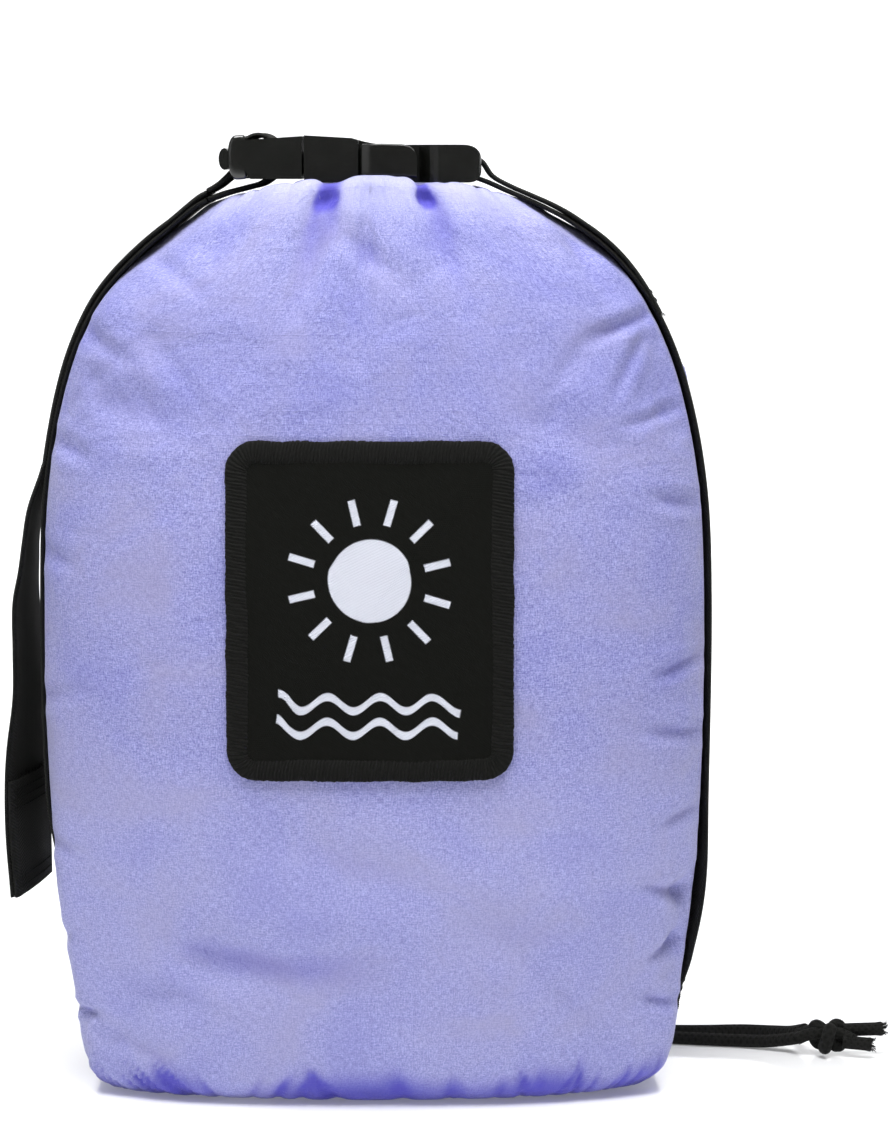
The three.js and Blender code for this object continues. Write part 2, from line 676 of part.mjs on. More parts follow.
// A smooth line through hand-set points in X and Z.
function smooth(points, count) {
  const curve = new THREE.CatmullRomCurve3(
    points.map(([x, z]) => new THREE.Vector3(x, 0, z)), false, "centripetal");
  return curve.getSpacedPoints(count);
}

const U = BUCKLE_UNDERSIDE;
const barZ = U + 6;
const loopRadius = BAR_RADIUS + GAP + WEB / 2;

// Right: up the side, round the socket's bar and back down as the sewn second layer.
function rightStrap() {
  const up = sideHeights(STRAP_LOW_END, SHOULDER, 20).map((z) => besideSack(z, HUG));
  const round = [];
  for (let i = 0; i <= 8; i++) {
    const angle = rad(-70 - 220 * (i / 8));
    round.push([
      SOCKET_BAR_X + loopRadius * Math.cos(angle), barZ + loopRadius * Math.sin(angle)]);
  }
  const climb = smooth(
    [[59, OVER_HEM + 0.1], [50, 338.2], [42, 340.8], round[0]], 8).slice(0, -1);
  const back = smooth(
    [
      [SOCKET_BAR_X + loopRadius + 2, barZ + 2.4], [44, 343.4], [51, 340.4],
      [59.6, OVER_HEM + LAYER + 0.4],
    ],
    7);
  const down = sideHeights(FOLD_BACK_HEIGHT, SHOULDER, 6)
    .reverse()
    .map((z) => besideSack(z, HUG + LAYER));
  const loop = round.map(([x, z]) => new THREE.Vector3(x, 0, z));
  return webbingBody([...up, ...climb, ...loop, ...back, ...down], flatAcross, evenly);
}
add("strap_right", rightStrap(), finishes.webbing);

// Left: the standing part up the side, the loop over the plug's bar, and the free end.
const leftUp = sideHeights(STRAP_LOW_END, SHOULDER, 20).map((z) => mirror(besideSack(z, HUG)));
add("strap_left", webbingBody([...leftUp, new THREE.Vector3(-60.6, 0, OVER_HEM - 0.8)], flatAcross, evenly),
  finishes.webbing);

const adjuster = smooth(
  [
    [-59.9, OVER_HEM - 0.4], [-54, 336.6], [-46, 339.4], [-39.5, U + 1.7], [-35.4, U + 5],
    [-35.1, U + 11], [-37.2, U + 15.8], [-41.4, U + 17.4], [-45.6, U + 15.8],
    [-47.7, U + 11], [-48.4, U + 6], [-51.2, U + 2.6], [-55.5, U - 0.6], [-60.2, OVER_HEM + LAYER + 0.3],
  ],
  44);
add("strap_adjuster_loop", webbingBody(adjuster, flatAcross, evenly), finishes.webbing);

// The free end lies on the standing part over the shoulder, then hangs clear of it.
function tailOnStrap() {
  const down = sideHeights(TAIL_LEAVES_AT, SHOULDER, 10)
    .reverse()
    .map((z) => mirror(besideSack(z, HUG + LAYER)));
  return webbingBody([new THREE.Vector3(-60.8, 0, OVER_HEM + LAYER - 0.1), ...down], flatAcross, evenly);
}
add("strap_tail_on_shoulder", tailOnStrap(), finishes.webbing);

function tailHanging() {
  const count = 24;
  const top = TAIL_LEAVES_AT - GAP;
  const run = top - TAIL_END_HEIGHT;
  const line = Array.from({ length: count + 1 }, (_, i) => {
    const share = i / count;
    const z = top - run * share;
    const beside = mirror(besideSack(Math.max(z, STRAP_LOW_END), HUG + LAYER));
    const away = TAIL_STAND_OFF * Math.sin((Math.PI / 2) * Math.min(share * 1.6, 1));
    return new THREE.Vector3(beside.x - away, 0, z);
  });
  const across = (i, n) => {
    const turn = rad(TAIL_TWIST) * Math.min((1.5 * i) / (n - 1), 1);
    return new THREE.Vector3(Math.sin(turn), Math.cos(turn), 0);
  };
  const thickness = (i, n) =>
    run * (1 - i / (n - 1)) < TAIL_HEM ? TAIL_HEM_THICKNESS : WEB;
  return webbingBody(line, across, thickness);
}
add("strap_tail", tailHanging(), finishes.webbing);

// ---------------------------------------------------------------- buckle socket
const half = BUCKLE_WIDTH / 2;

function socket() {
  const top = U + SOCKET_MOUTH_THICKNESS;
  const rear = U + SOCKET_REAR_THICKNESS;
  const side = new THREE.Shape();
  side.moveTo(SOCKET_START, U);
  side.lineTo(SOCKET_END - 5, U);
  side.quadraticCurveTo(SOCKET_END, U, SOCKET_END, U + 5);
  side.lineTo(SOCKET_END, rear - 6);
  side.quadraticCurveTo(SOCKET_END, rear, SOCKET_END - 7, rear);
  side.lineTo(8, rear);
  side.quadraticCurveTo(0, rear, -7, top - 1);
  side.lineTo(SOCKET_START, top);
  side.closePath();

  const outline = new THREE.Shape();
  outline.moveTo(SOCKET_START, -half);
  outline.lineTo(WINDOW_START, -half);
  outline.lineTo(WINDOW_START, -WINDOW_CORE_HALF);
  outline.lineTo(WINDOW_END, -WINDOW_CORE_HALF);
  outline.quadraticCurveTo(WINDOW_END + 1, -half, WINDOW_END + 9, -half);
  outline.lineTo(SOCKET_END - 5, -half);
  outline.quadraticCurveTo(SOCKET_END, -half, SOCKET_END, -half + 5);
  outline.lineTo(SOCKET_END, half - 5);
  outline.quadraticCurveTo(SOCKET_END, half, SOCKET_END - 5, half);
  outline.lineTo(WINDOW_END + 9, half);
  outline.quadraticCurveTo(WINDOW_END + 1, half, WINDOW_END, WINDOW_CORE_HALF);
  outline.lineTo(WINDOW_START, WINDOW_CORE_HALF);
  outline.lineTo(WINDOW_START, half);
  outline.lineTo(SOCKET_START, half);
  outline.closePath();

  const cavity = box(
    SOCKET_START - 1, WINDOW_END - 1.5, -half + SOCKET_SIDE_WALL, half - SOCKET_SIDE_WALL,
    U + SOCKET_PLATE, rear - SOCKET_PLATE);
  const opening = box(
    WINDOW_END + 9, SOCKET_END + 1, -SLOT_WIDTH / 2, SLOT_WIDTH / 2, U - 1, top + 1);
  const bar = rodAlongY(BAR_RADIUS, -SLOT_WIDTH / 2 - 1, SLOT_WIDTH / 2 + 1, SOCKET_BAR_X, barZ, 16);
  return solid(sideProfile(side, BUCKLE_WIDTH))
    .intersect(solid(plan(outline, U - 1, top + 1)))
    .subtract(solid(cavity))
    .subtract(solid(opening))
    .add(solid(bar));
}
add("buckle_socket", geometryOf(socket()), finishes.plastic);

// ---------------------------------------------------------------- buckle plug
const prongMiddle = U + (SOCKET_PLATE + SOCKET_REAR_THICKNESS - SOCKET_PLATE) / 2;

function plug() {
  const low = U + PLUG_LIFT;
  const top = low + PLUG_THICKNESS;
  const side = new THREE.Shape();
  side.moveTo(PLUG_START + 7.5, low);
  side.lineTo(PLUG_END, low);
  side.lineTo(PLUG_END, top);
  side.lineTo(PLUG_START + 3, top - 1.6);
  side.quadraticCurveTo(PLUG_START, top - 1.8, PLUG_START + 0.8, top - 4.5);
  side.closePath();

  const slots = [
    box(PLUG_START - 1, -44.4, -SLOT_WIDTH / 2, SLOT_WIDTH / 2, low - 1, top + 1),
    box(-38.4, -32.4, -SLOT_WIDTH / 2, SLOT_WIDTH / 2, low - 1, top + 1),
    box(-45, -38, -SLOT_WIDTH / 2, SLOT_WIDTH / 2, top - 3.6, top + 1),
    box(-45, -38, -SLOT_WIDTH / 2, SLOT_WIDTH / 2, low - 1, low + 3.2),
  ];
  let body = solid(sideProfile(side, BUCKLE_WIDTH));
  slots.forEach((slot) => (body = body.subtract(solid(slot))));

  const endBar = new THREE.CylinderGeometry(2.1, 2.1, BUCKLE_WIDTH - 5, 14)
    .scale(1, 1, 1.9)
    .translate(-53.6, 0, U + 8.6);
  const link = (s) =>
    box(
      -54, -49.2, Math.min(s * (half - 4.8), s * (half - 2.5)),
      Math.max(s * (half - 4.8), s * (half - 2.5)), U + 6, U + 11.4);
  body = body.add(solid(endBar)).add(solid(link(-1))).add(solid(link(1)));

  const tongue = box(
    PLUG_END - 1, PLUG_END + TONGUE_LENGTH, -TONGUE_HALF, TONGUE_HALF,
    prongMiddle - 2.2, prongMiddle + 2.2);
  body = body.add(solid(tongue));
  for (const s of [-1, 1]) {
    const seat = new THREE.CylinderGeometry(
      PRONG_ROOT_RADIUS + GAP, PRONG_ROOT_RADIUS + GAP, PRONG_HEIGHT + 2 * GAP, 20)
      .rotateX(Math.PI / 2)
      .translate(PRONG_ROOT_X, s * PRONG_ROOT_Y, prongMiddle);
    const throat = box(
      PRONG_ROOT_X, PLUG_END + 1, s * PRONG_ROOT_Y - 4.4, s * PRONG_ROOT_Y + 3.4,
      prongMiddle - PRONG_HEIGHT / 2 - GAP, prongMiddle + PRONG_HEIGHT / 2 + GAP);
    body = body.subtract(solid(seat)).subtract(solid(throat));
  }
  return body;
}
add("buckle_plug", geometryOf(plug()), finishes.plastic);

// A springy side arm of the plug, with the pad that latches in the socket's window.
function prong(side) {
  const arm = new THREE.Shape();
  arm.absarc(PRONG_ROOT_X, PRONG_ROOT_Y, PRONG_ROOT_RADIUS, Math.PI / 2, 1.5 * Math.PI, false);
  arm.lineTo(-6, PRONG_ROOT_Y - 3.4);
  arm.quadraticCurveTo(6, PRONG_ROOT_Y - 2.5, 13, PRONG_ROOT_Y + 2);
  arm.lineTo(11, PRONG_ROOT_Y + 6);
  arm.lineTo(-3.4, PRONG_ROOT_Y + 6);
  arm.quadraticCurveTo(-5.4, PRONG_ROOT_Y + 3, -9, PRONG_ROOT_Y + 2.6);
  arm.closePath();
  const pad = new THREE.Shape();
  pad.moveTo(-3.4, PRONG_ROOT_Y + 5);
  pad.lineTo(13.2, PRONG_ROOT_Y + 5);
  pad.quadraticCurveTo(16, PRONG_ROOT_Y + 6, 14.4, PRONG_ROOT_Y + 8);
  pad.quadraticCurveTo(11.5, half - 0.6, 4, half - 0.5);
  pad.lineTo(-2.6, half - 0.8);
  pad.quadraticCurveTo(-3.4, half - 0.8, -3.4, half - 1.6);
  pad.closePath();
  const joined = solid(plan(arm, prongMiddle - PRONG_HEIGHT / 2, prongMiddle + PRONG_HEIGHT / 2))
    .add(solid(plan(pad, prongMiddle - PAD_HEIGHT / 2, prongMiddle + PAD_HEIGHT / 2)));
  return side > 0 ? joined : joined.mirror([0, 1, 0]);
}
add("buckle_prong_front", geometryOf(prong(-1)), finishes.plastic);
add("buckle_prong_back", geometryOf(prong(1)), finishes.plastic);

export default root;
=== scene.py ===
import logging
import math
from dataclasses import dataclass, field
from enum import Enum
from typing import Sequence

import bpy
import numpy as np
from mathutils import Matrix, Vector


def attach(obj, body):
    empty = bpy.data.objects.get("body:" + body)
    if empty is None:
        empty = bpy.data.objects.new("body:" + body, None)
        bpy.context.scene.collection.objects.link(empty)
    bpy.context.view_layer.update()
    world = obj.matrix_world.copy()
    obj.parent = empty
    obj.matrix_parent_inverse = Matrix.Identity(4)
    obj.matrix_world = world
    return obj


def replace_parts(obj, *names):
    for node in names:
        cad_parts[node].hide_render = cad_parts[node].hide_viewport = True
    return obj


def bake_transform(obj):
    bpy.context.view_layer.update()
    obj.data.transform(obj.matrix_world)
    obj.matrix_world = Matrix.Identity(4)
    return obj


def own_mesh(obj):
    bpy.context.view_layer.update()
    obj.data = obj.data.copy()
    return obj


# A soft drawstring backpack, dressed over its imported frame. X runs across the bag, -Y is the
# front with the patch, +Z is up, and the bag stands on z = 0. Lengths are in metres, and the
# outlines of cloth and webbing are listed in millimetres times MM.
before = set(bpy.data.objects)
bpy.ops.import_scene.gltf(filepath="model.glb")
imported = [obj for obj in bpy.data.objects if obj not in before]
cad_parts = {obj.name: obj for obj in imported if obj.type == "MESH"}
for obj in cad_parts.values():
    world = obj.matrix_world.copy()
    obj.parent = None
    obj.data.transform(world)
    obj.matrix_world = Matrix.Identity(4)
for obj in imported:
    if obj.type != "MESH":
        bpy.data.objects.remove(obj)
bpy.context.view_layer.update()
log = logging.getLogger("backpack")

MM = 0.001
WEAVE_MAP = "weave"  # a surface map in metres, along and across the cloth
Point = Sequence[float]
Colour = tuple[float, float, float]


# ------------------------------------------------------------------ shader expressions
class Value:
    """A number that varies over a surface: sums on it add Math nodes to its paint."""

    def __init__(self, paint: "Paint", socket: bpy.types.NodeSocket) -> None:
        """Wraps one output socket of a paint's node tree."""
        self.paint = paint
        self.socket = socket

    def maths(self, operation: str, *others: "Value | float") -> "Value":
        """Applies one Math operation.

        Args:
            operation: the Math node's operation.
            others: its second and third values.

        Returns:
            The result.
        """
        values = dict(enumerate((self, *others)))
        return self.paint.value("ShaderNodeMath", {"operation": operation}, values)

    def __add__(self, other: "Value | float") -> "Value":
        """Sum."""
        return self.maths("ADD", other)

    def __radd__(self, other: float) -> "Value":
        """Sum, reflected."""
        return self.maths("ADD", other)

    def __sub__(self, other: "Value | float") -> "Value":
        """Difference."""
        return self.maths("SUBTRACT", other)

    def __rsub__(self, other: float) -> "Value":
        """Difference, reflected."""
        return self.maths("MULTIPLY_ADD", -1.0, other)

    def __mul__(self, other: "Value | float") -> "Value":
        """Product."""
        return self.maths("MULTIPLY", other)

    def __rmul__(self, other: float) -> "Value":
        """Product, reflected."""
        return self.maths("MULTIPLY", other)

    def __abs__(self) -> "Value":
        """Size without sign."""
        return self.maths("ABSOLUTE")

    def wave(self, length: float) -> "Value":
        """A sine of the given wavelength, from 0 to 1."""
        return (self * (2 * math.pi / length)).maths("SINE") * 0.5 + 0.5

    def saw(self, length: float) -> "Value":
        """A ramp that repeats every length, from 0 to 1."""
        return (self * (1 / length)).maths("FRACT")

    def most(self, other: "Value | float") -> "Value":
        """The larger of two."""
        return self.maths("MAXIMUM", other)

    def step(self, low: float, high: float) -> "Value":
        """A soft step: 0 at low, 1 at high, smooth between them."""
        values = {"Value": self, "From Min": low, "From Max": high}
        return self.paint.value("ShaderNodeMapRange", {"interpolation_type": "SMOOTHSTEP"}, values)


class Paint:
    """One material under construction, around a Principled shader."""

    def __init__(self, name: str, colour: Colour) -> None:
        """Starts a material.

        Args:
            name: the material's name.
            colour: its even base colour, also used for the viewport.
        """
        self.material = bpy.data.materials.new(name)
        self.material.use_nodes = True
        self.material.diffuse_color = (*colour, 1.0)
        self.nodes = self.material.node_tree.nodes
        self.links = self.material.node_tree.links
        self.shader = next(n for n in self.nodes if n.type == "BSDF_PRINCIPLED")
        self.set(**{"Base Color": colour})

    def _fill(self, socket: bpy.types.NodeSocket, given: object) -> None:
        """Links or sets one input socket."""
        if isinstance(given, Value):
            given = given.socket
        if isinstance(given, bpy.types.NodeSocket):
            self.links.new(given, socket)
        elif isinstance(given, tuple) and len(given) == 3 and socket.type == "RGBA":
            socket.default_value = (*given, 1.0)
        else:
            socket.default_value = given

    def node(self, kind: str, settings: dict | None = None, sockets: dict | None = None) -> bpy.types.Node:
        """Adds a node.

        Args:
            kind: the node's type.
            settings: its own settings, set first.
            sockets: values or links of its inputs, by name or number.

        Returns:
            The node.
        """
        made = self.nodes.new(kind)
        for key, setting in (settings or {}).items():
            setattr(made, key, setting)
        for key, given in (sockets or {}).items():
            self._fill(made.inputs[key], given)
        return made

    def value(self, kind: str, settings: dict | None = None, sockets: dict | None = None,
              out: int | str = 0) -> Value:
        """Adds a node and wraps one of its outputs."""
        return Value(self, self.node(kind, settings, sockets).outputs[out])

    def set(self, **sockets: object) -> None:
        """Sets or links the shader's own sockets."""
        for key, given in sockets.items():
            self._fill(self.shader.inputs[key], given)

    def weave_place(self) -> tuple[Value, Value]:
        """The place along the cloth's surface map, across and along, in metres."""
        made = self.node("ShaderNodeUVMap", {"uv_map": WEAVE_MAP})
        split = self.node("ShaderNodeSeparateXYZ", None, {0: made.outputs[0]})
        return Value(self, split.outputs[0]), Value(self, split.outputs[1])

    def body_place(self) -> bpy.types.NodeSocket:
        """The place in the piece's own frame, in metres."""
        return self.node("ShaderNodeTexCoord").outputs["Object"]

    def vector(self, x: Value | float, y: Value | float, z: Value | float = 0.0) -> bpy.types.NodeSocket:
        """A vector from three numbers."""
        return self.node("ShaderNodeCombineXYZ", None, {0: x, 1: y, 2: z}).outputs[0]

    def noise(self, place: bpy.types.NodeSocket, scale: float, detail: float = 2.0,
              roughness: float = 0.5, distortion: float = 0.0) -> Value:
        """Cloudy noise of the given scale per metre."""
        sockets = {"Vector": place, "Scale": scale, "Detail": detail, "Roughness": roughness,
                   "Distortion": distortion}
        return self.value("ShaderNodeTexNoise", None, sockets)

    def tint(self, share: Value, low: object, high: object) -> bpy.types.NodeSocket:
        """Mixes two colours.

        Args:
            share: how much of the second colour shows.
            low: the first colour.
            high: the second colour.

        Returns:
            The colour's socket.
        """
        return self.node("ShaderNodeMix", {"data_type": "RGBA"}, {0: share, 6: low, 7: high}).outputs[2]

    def height(self) -> Value:
        """The height in the piece's own frame, in metres."""
        return self.value("ShaderNodeSeparateXYZ", None, {0: self.body_place()}, 2)

    def relief(self, *layers: tuple[Value, float]) -> None:
        """Feeds the shader's Normal from heights, each with its depth in metres."""
        normal = None
        for height, depth in layers:
            sockets = {"Height": height, "Distance": depth, "Strength": 1.0}
            if normal is not None:
                sockets["Normal"] = normal
            normal = self.node("ShaderNodeBump", None, sockets).outputs[0]
        self.set(Normal=normal)


# ------------------------------------------------------------------ finishes
@dataclass(frozen=True)
class RipstopCloth:
    """Coated lilac ripstop nylon, with fine uneven threads and a soft sheen."""

    name: str = "lilac ripstop"
    light: Colour = (0.425, 0.435, 0.76)
    deep: Colour = (0.145, 0.152, 0.43)
    dusty: Colour = (0.30, 0.28, 0.45)
    blue: Colour = (0.17, 0.175, 0.58)
    # Painted shade: the dark violet that folds, creases and the lowest band of the walls are coloured toward.
    fold: Colour = (0.075, 0.065, 0.46)
    # Painted highlight: the paler colour of the top-lit crest, and faintly of the lower walls.
    pale: Colour = (0.55, 0.56, 0.86)
    thread: float = 0.42 * MM
    rip_grid: float = 5.0 * MM

    def material(self) -> bpy.types.Material:
        """Makes the material: slubbed threads, a ripstop grid, crinkles, painted shade and painted highlight.
        """
        paint = Paint(self.name, self.light)
        across, along = paint.weave_place()
        warp = paint.noise(paint.vector(across * 2.2, along * 0.4), 950.0, 3.0, 0.72)
        weft = paint.noise(paint.vector(across * 0.4, along * 2.2, 4.0), 950.0, 3.0, 0.72)
        slub = warp * 0.5 + weft * 0.5
        speckle = paint.noise(paint.vector(across, along, 9.0), 1500.0, 2.0, 0.7)
        cloud = paint.noise(paint.vector(across, along, 2.0), 24.0, 4.0, 0.55, 0.4)
        lines = (abs(across.saw(self.rip_grid) - 0.5)).step(0.455, 0.5)
        lines = lines.most(abs(along.saw(self.rip_grid) - 0.5).step(0.455, 0.5))
        # Painted shade: the share of the dark violet at each point, set by the sack from its folds, creases
        # and height.
        fold = paint.value("ShaderNodeAttribute", {"attribute_name": "fold"}, out="Fac")
        tone = (slub - 0.5) * 3.9 + (speckle - 0.5) * 2.0 + (cloud - 0.5) * 0.45 + 0.5
        tone = (tone - lines * 0.1).maths("MAXIMUM", 0.0).maths("MINIMUM", 1.0)
        colour = paint.tint(tone, self.deep, self.light)
        colour = paint.tint(cloud.step(0.42, 0.78) * 0.6, colour, self.dusty)
        colour = paint.tint((1 - cloud.step(0.26, 0.52)) * 0.22, colour, self.blue)
        height = paint.height()
        # Painted shade: a band over the shoulders, 235 to 320 mm up, is coloured toward the deep colour.
        shoulder = height.step(0.235, 0.265) * (1 - height.step(0.285, 0.320))
        colour = paint.tint(shoulder * 0.20, colour, self.deep)
        # Painted highlight: the crest above 322 mm is paled, and the walls below 160 mm a little, for the top
        # light and the floor's bounce.
        pale = height.step(0.322, 0.338).most((1 - height.step(0.085, 0.16)) * 0.3)
        colour = paint.tint(pale * 0.52, colour, self.pale)
        # Painted shade in the folds, the creases and near the base.
        colour = paint.tint(fold.step(0.05, 1.0), colour, self.fold)
        paint.set(**{"Base Color": colour, "Roughness": 0.62 - (speckle - 0.5) * 0.25})
        paint.set(**{"Sheen Weight": 0.25, "Sheen Roughness": 0.4, "Specular IOR Level": 0.4})
        threads = (across.wave(self.thread) * along.wave(self.thread)) * 0.5 + slub
        crinkle = paint.noise(paint.vector(across * 1.2, along, 7.0), 95.0, 5.0, 0.62, 1.2)
        soft = paint.noise(paint.vector(across * 0.8, along * 1.3, 5.0), 22.0, 3.0, 0.5, 0.6)
        paint.relief((soft, 2.6 * MM), (crinkle, 0.75 * MM), (threads + lines * 0.6, 0.10 * MM))
        return paint.material


@dataclass(frozen=True)
class Emblem:
    """A plain sun over two waves, drawn by formula on the patch's own map."""

    middle_up: float = 11.5 * MM  # from the patch's middle
    disc: float = 15.0 * MM
    ray_start: float = 20.5 * MM
    ray_end: float = 30.0 * MM
    rays: int = 12
    ray_half: float = 1.35 * MM
    wave_down: float = 33.0 * MM
    wave_gap: float = 9.0 * MM
    wave_half: float = 1.5 * MM
    wave_length: float = 19.0 * MM
    wave_height: float = 2.6 * MM
    wave_reach: float = 33.0 * MM
    edge: float = 0.25 * MM

    def mask(self, across: Value, along: Value) -> Value:
        """Where the emblem's thread lies.

        Args:
            across: place across the patch, from its middle.
            along: place up the patch, from its middle.

        Returns:
            1 on the emblem and 0 off it.
        """
        up = along - self.middle_up
        reach = (across * across + up * up).maths("SQRT")
        disc = 1 - reach.step(self.disc - self.edge, self.disc + self.edge)
        turn = up.maths("ARCTAN2", across)
        sector = 2 * math.pi / self.rays
        swing = (turn.saw(sector) - 0.5) * sector
        aside = abs(reach * swing.maths("SINE"))
        ray = 1 - aside.step(self.ray_half - self.edge, self.ray_half + self.edge)
        ray = ray * reach.step(self.ray_start - self.edge, self.ray_start + self.edge)
        ray = ray * (1 - reach.step(self.ray_end - self.edge, self.ray_end + self.edge))
        mark = disc.most(ray)
        inside = 1 - abs(across).step(self.wave_reach - self.edge, self.wave_reach + self.edge)
        for i in range(2):
            middle = (across.wave(self.wave_length) - 0.5) * (2 * self.wave_height)
            off = abs(along + (self.wave_down + i * self.wave_gap) - middle)
            line = 1 - off.step(self.wave_half - self.edge, self.wave_half + self.edge)
            mark = mark.most(line * inside)
        return mark


@dataclass(frozen=True)
class PatchTwill:
    """Black twill with an embroidered emblem in pale thread."""

    name: str = "black patch twill"
    ground: Colour = (0.0028, 0.0030, 0.0024)
    lifted: Colour = (0.0080, 0.0084, 0.0070)
    thread: Colour = (0.70, 0.72, 0.80)
    pitch: float = 0.9 * MM

    def material(self) -> bpy.types.Material:
        """Makes the material: diagonal twill lines, and satin stitches on the emblem."""
        paint = Paint(self.name, self.ground)
        across, along = paint.weave_place()
        mark = Emblem().mask(across, along)
        diagonal = (across + along * 0.8).wave(self.pitch)
        cross = (along - across * 0.2).wave(self.pitch * 0.55)
        fuzz = paint.noise(paint.vector(across, along, 3.0), 1400.0, 3.0, 0.7)
        satin = (across * 0.25 + along).wave(0.55 * MM)
        ground = paint.tint(diagonal * 0.45 + fuzz * 0.55, self.ground, self.lifted)
        pale = paint.tint(satin * 0.5 + fuzz * 0.3, self.thread, (0.50, 0.52, 0.60))
        rough = 0.88 - mark * 0.42
        paint.set(**{"Base Color": paint.tint(mark, ground, pale), "Roughness": rough})
        paint.set(**{"Specular IOR Level": 0.08})
        twill = (diagonal * 0.7 + cross * 0.3) * (1 - mark) + satin * mark
        paint.relief((mark, 0.5 * MM), (twill + fuzz * 0.35, 0.14 * MM))
        return paint.material


@dataclass(frozen=True)
class ThreadFinish:
    """Matt black sewing thread, in packed overcast stitches or single ones."""

    name: str = "black thread"
    dark: Colour = (0.0035, 0.0036, 0.0030)
    pale: Colour = (0.0095, 0.0098, 0.0085)
    pitch: float = 1.15 * MM
    depth: float = 0.45 * MM

    def material(self) -> bpy.types.Material:
        """Makes the material: cords of thread side by side, with loose fuzz."""
        paint = Paint(self.name, self.dark)
        across, along = paint.weave_place()
        wander = paint.noise(paint.vector(across, along), 160.0, 3.0) * (1.2 * MM)
        cords = (along + across * 0.22 + wander).wave(self.pitch)
        fuzz = paint.noise(paint.vector(across, along, 5.0), 1700.0, 4.0, 0.75)
        colour = paint.tint(cords * 0.5 + fuzz * 0.5, self.dark, self.pale)
        paint.set(**{"Base Color": colour, "Roughness": 0.95 - fuzz * 0.12})
        paint.set(**{"Specular IOR Level": 0.12, "Sheen Weight": 0.02, "Sheen Roughness": 0.6})
        paint.relief((cords, self.depth), (fuzz, 0.4 * MM))
        return paint.material


@dataclass(frozen=True)
class WovenWebbing:
    """Black nylon webbing: chevron ribs between tight edges."""

    name: str = "black webbing"
    dark: Colour = (0.0040, 0.0041, 0.0036)
    pale: Colour = (0.0200, 0.0204, 0.0180)
    rib: float = 1.25 * MM
    bundle: float = 7.0 * MM

    def material(self) -> bpy.types.Material:
        """Makes the material: slanted ribs that turn back from bundle to bundle."""
        paint = Paint(self.name, self.dark)
        across, along = paint.weave_place()
        zigzag = abs(across.saw(self.bundle) - 0.5) * self.bundle
        ribs = (along + zigzag * 0.9).wave(self.rib)
        yarn = across.wave(0.62 * MM)
        fuzz = paint.noise(paint.vector(across, along, 1.0), 1300.0, 3.0, 0.7)
        worn = paint.noise(paint.vector(across, along, 8.0), 45.0, 3.0)
        height = ribs * 0.6 + ribs * yarn * 0.5
        tone = (height * 0.5 + fuzz * 0.3 + worn * 0.15)
        rough = 0.72 + fuzz * 0.2
        paint.set(**{"Base Color": paint.tint(tone, self.dark, self.pale), "Roughness": rough})
        paint.set(**{"Specular IOR Level": 0.16, "Sheen Weight": 0.02, "Sheen Roughness": 0.45})
        paint.relief((height, 0.24 * MM), (fuzz, 0.1 * MM))
        return paint.material


@dataclass(frozen=True)
class BraidedCord:
    """Black braided cord, with strands that cross in a diamond."""

    name: str = "black braid"
    dark: Colour = (0.0030, 0.0031, 0.0028)
    pale: Colour = (0.0190, 0.0194, 0.0175)
    pitch: float = 2.6 * MM

    def material(self) -> bpy.types.Material:
        """Makes the material: two families of strands, over and under each other."""
        paint = Paint(self.name, self.dark)
        across, along = paint.weave_place()
        left = (along + across * 0.83).wave(self.pitch)
        right = (along - across * 0.83).wave(self.pitch)
        fibres = (along * 0.6 + across * 2.0).wave(0.36 * MM)
        fuzz = paint.noise(paint.vector(across, along, 6.0), 1600.0, 3.0, 0.7)
        strands = left.most(right)
        tone = strands * 0.45 + fibres * 0.15 + fuzz * 0.3
        paint.set(**{"Base Color": paint.tint(tone, self.dark, self.pale), "Roughness": 0.8 + fuzz * 0.15})
        paint.set(**{"Specular IOR Level": 0.14, "Sheen Weight": 0.02, "Sheen Roughness": 0.5})
        paint.relief((strands, 0.4 * MM), (fibres * 0.5 + fuzz, 0.12 * MM))
        return paint.material


@dataclass(frozen=True)
class MouldedPlastic:
    """Satin black moulded plastic with a faint spark-eroded grain and handling marks."""

    name: str = "black moulded plastic"
    colour: Colour = (0.0045, 0.0048, 0.0038)
    rough: float = 0.22
    gloss: float = 0.6

    def material(self) -> bpy.types.Material:
        """Makes the material: fine grain, faint flow marks and a few light scuffs."""
        paint = Paint(self.name, self.colour)
        place = paint.body_place()
        grain = paint.noise(place, 2600.0, 2.0, 0.6)
        flow = paint.noise(place, 120.0, 3.0)
        scuffs = paint.noise(place, 420.0, 5.0, 0.75, 2.0).step(0.62, 0.74)
        rough = self.rough + (grain - 0.5) * 0.08 + (flow - 0.5) * 0.12 + scuffs * 0.06
        colour = paint.tint(scuffs * 0.2 + flow * 0.25, self.colour, (0.012, 0.0125, 0.011))
        paint.set(**{"Base Color": colour, "Roughness": rough, "Specular IOR Level": self.gloss})
        paint.relief((flow, 0.10 * MM), (grain + scuffs * 0.3, 0.012 * MM))
        return paint.material


@dataclass(frozen=True)
class Metal:
    """Bare or enamelled metal, with drawn lines or a slightly uneven skin."""

    name: str
    colour: Colour
    rough: float
    metallic: float
    lines: float = 900.0

    def material(self) -> bpy.types.Material:
        """Makes the material: fine drawn lines and faint tarnish."""
        paint = Paint(self.name, self.colour)
        place = paint.body_place()
        drawn = paint.noise(place, self.lines, 3.0, 0.6)
        tarnish = paint.noise(place, 150.0, 4.0, 0.6)
        worn = tuple(c * 0.6 for c in self.colour)
        colour = paint.tint((tarnish - 0.35) * 0.8, self.colour, worn)
        paint.set(**{"Base Color": colour, "Roughness": self.rough + (drawn - 0.5) * 0.2})
        paint.set(**{"Metallic": self.metallic})
        paint.relief((drawn, 0.02 * MM))
        return paint.material


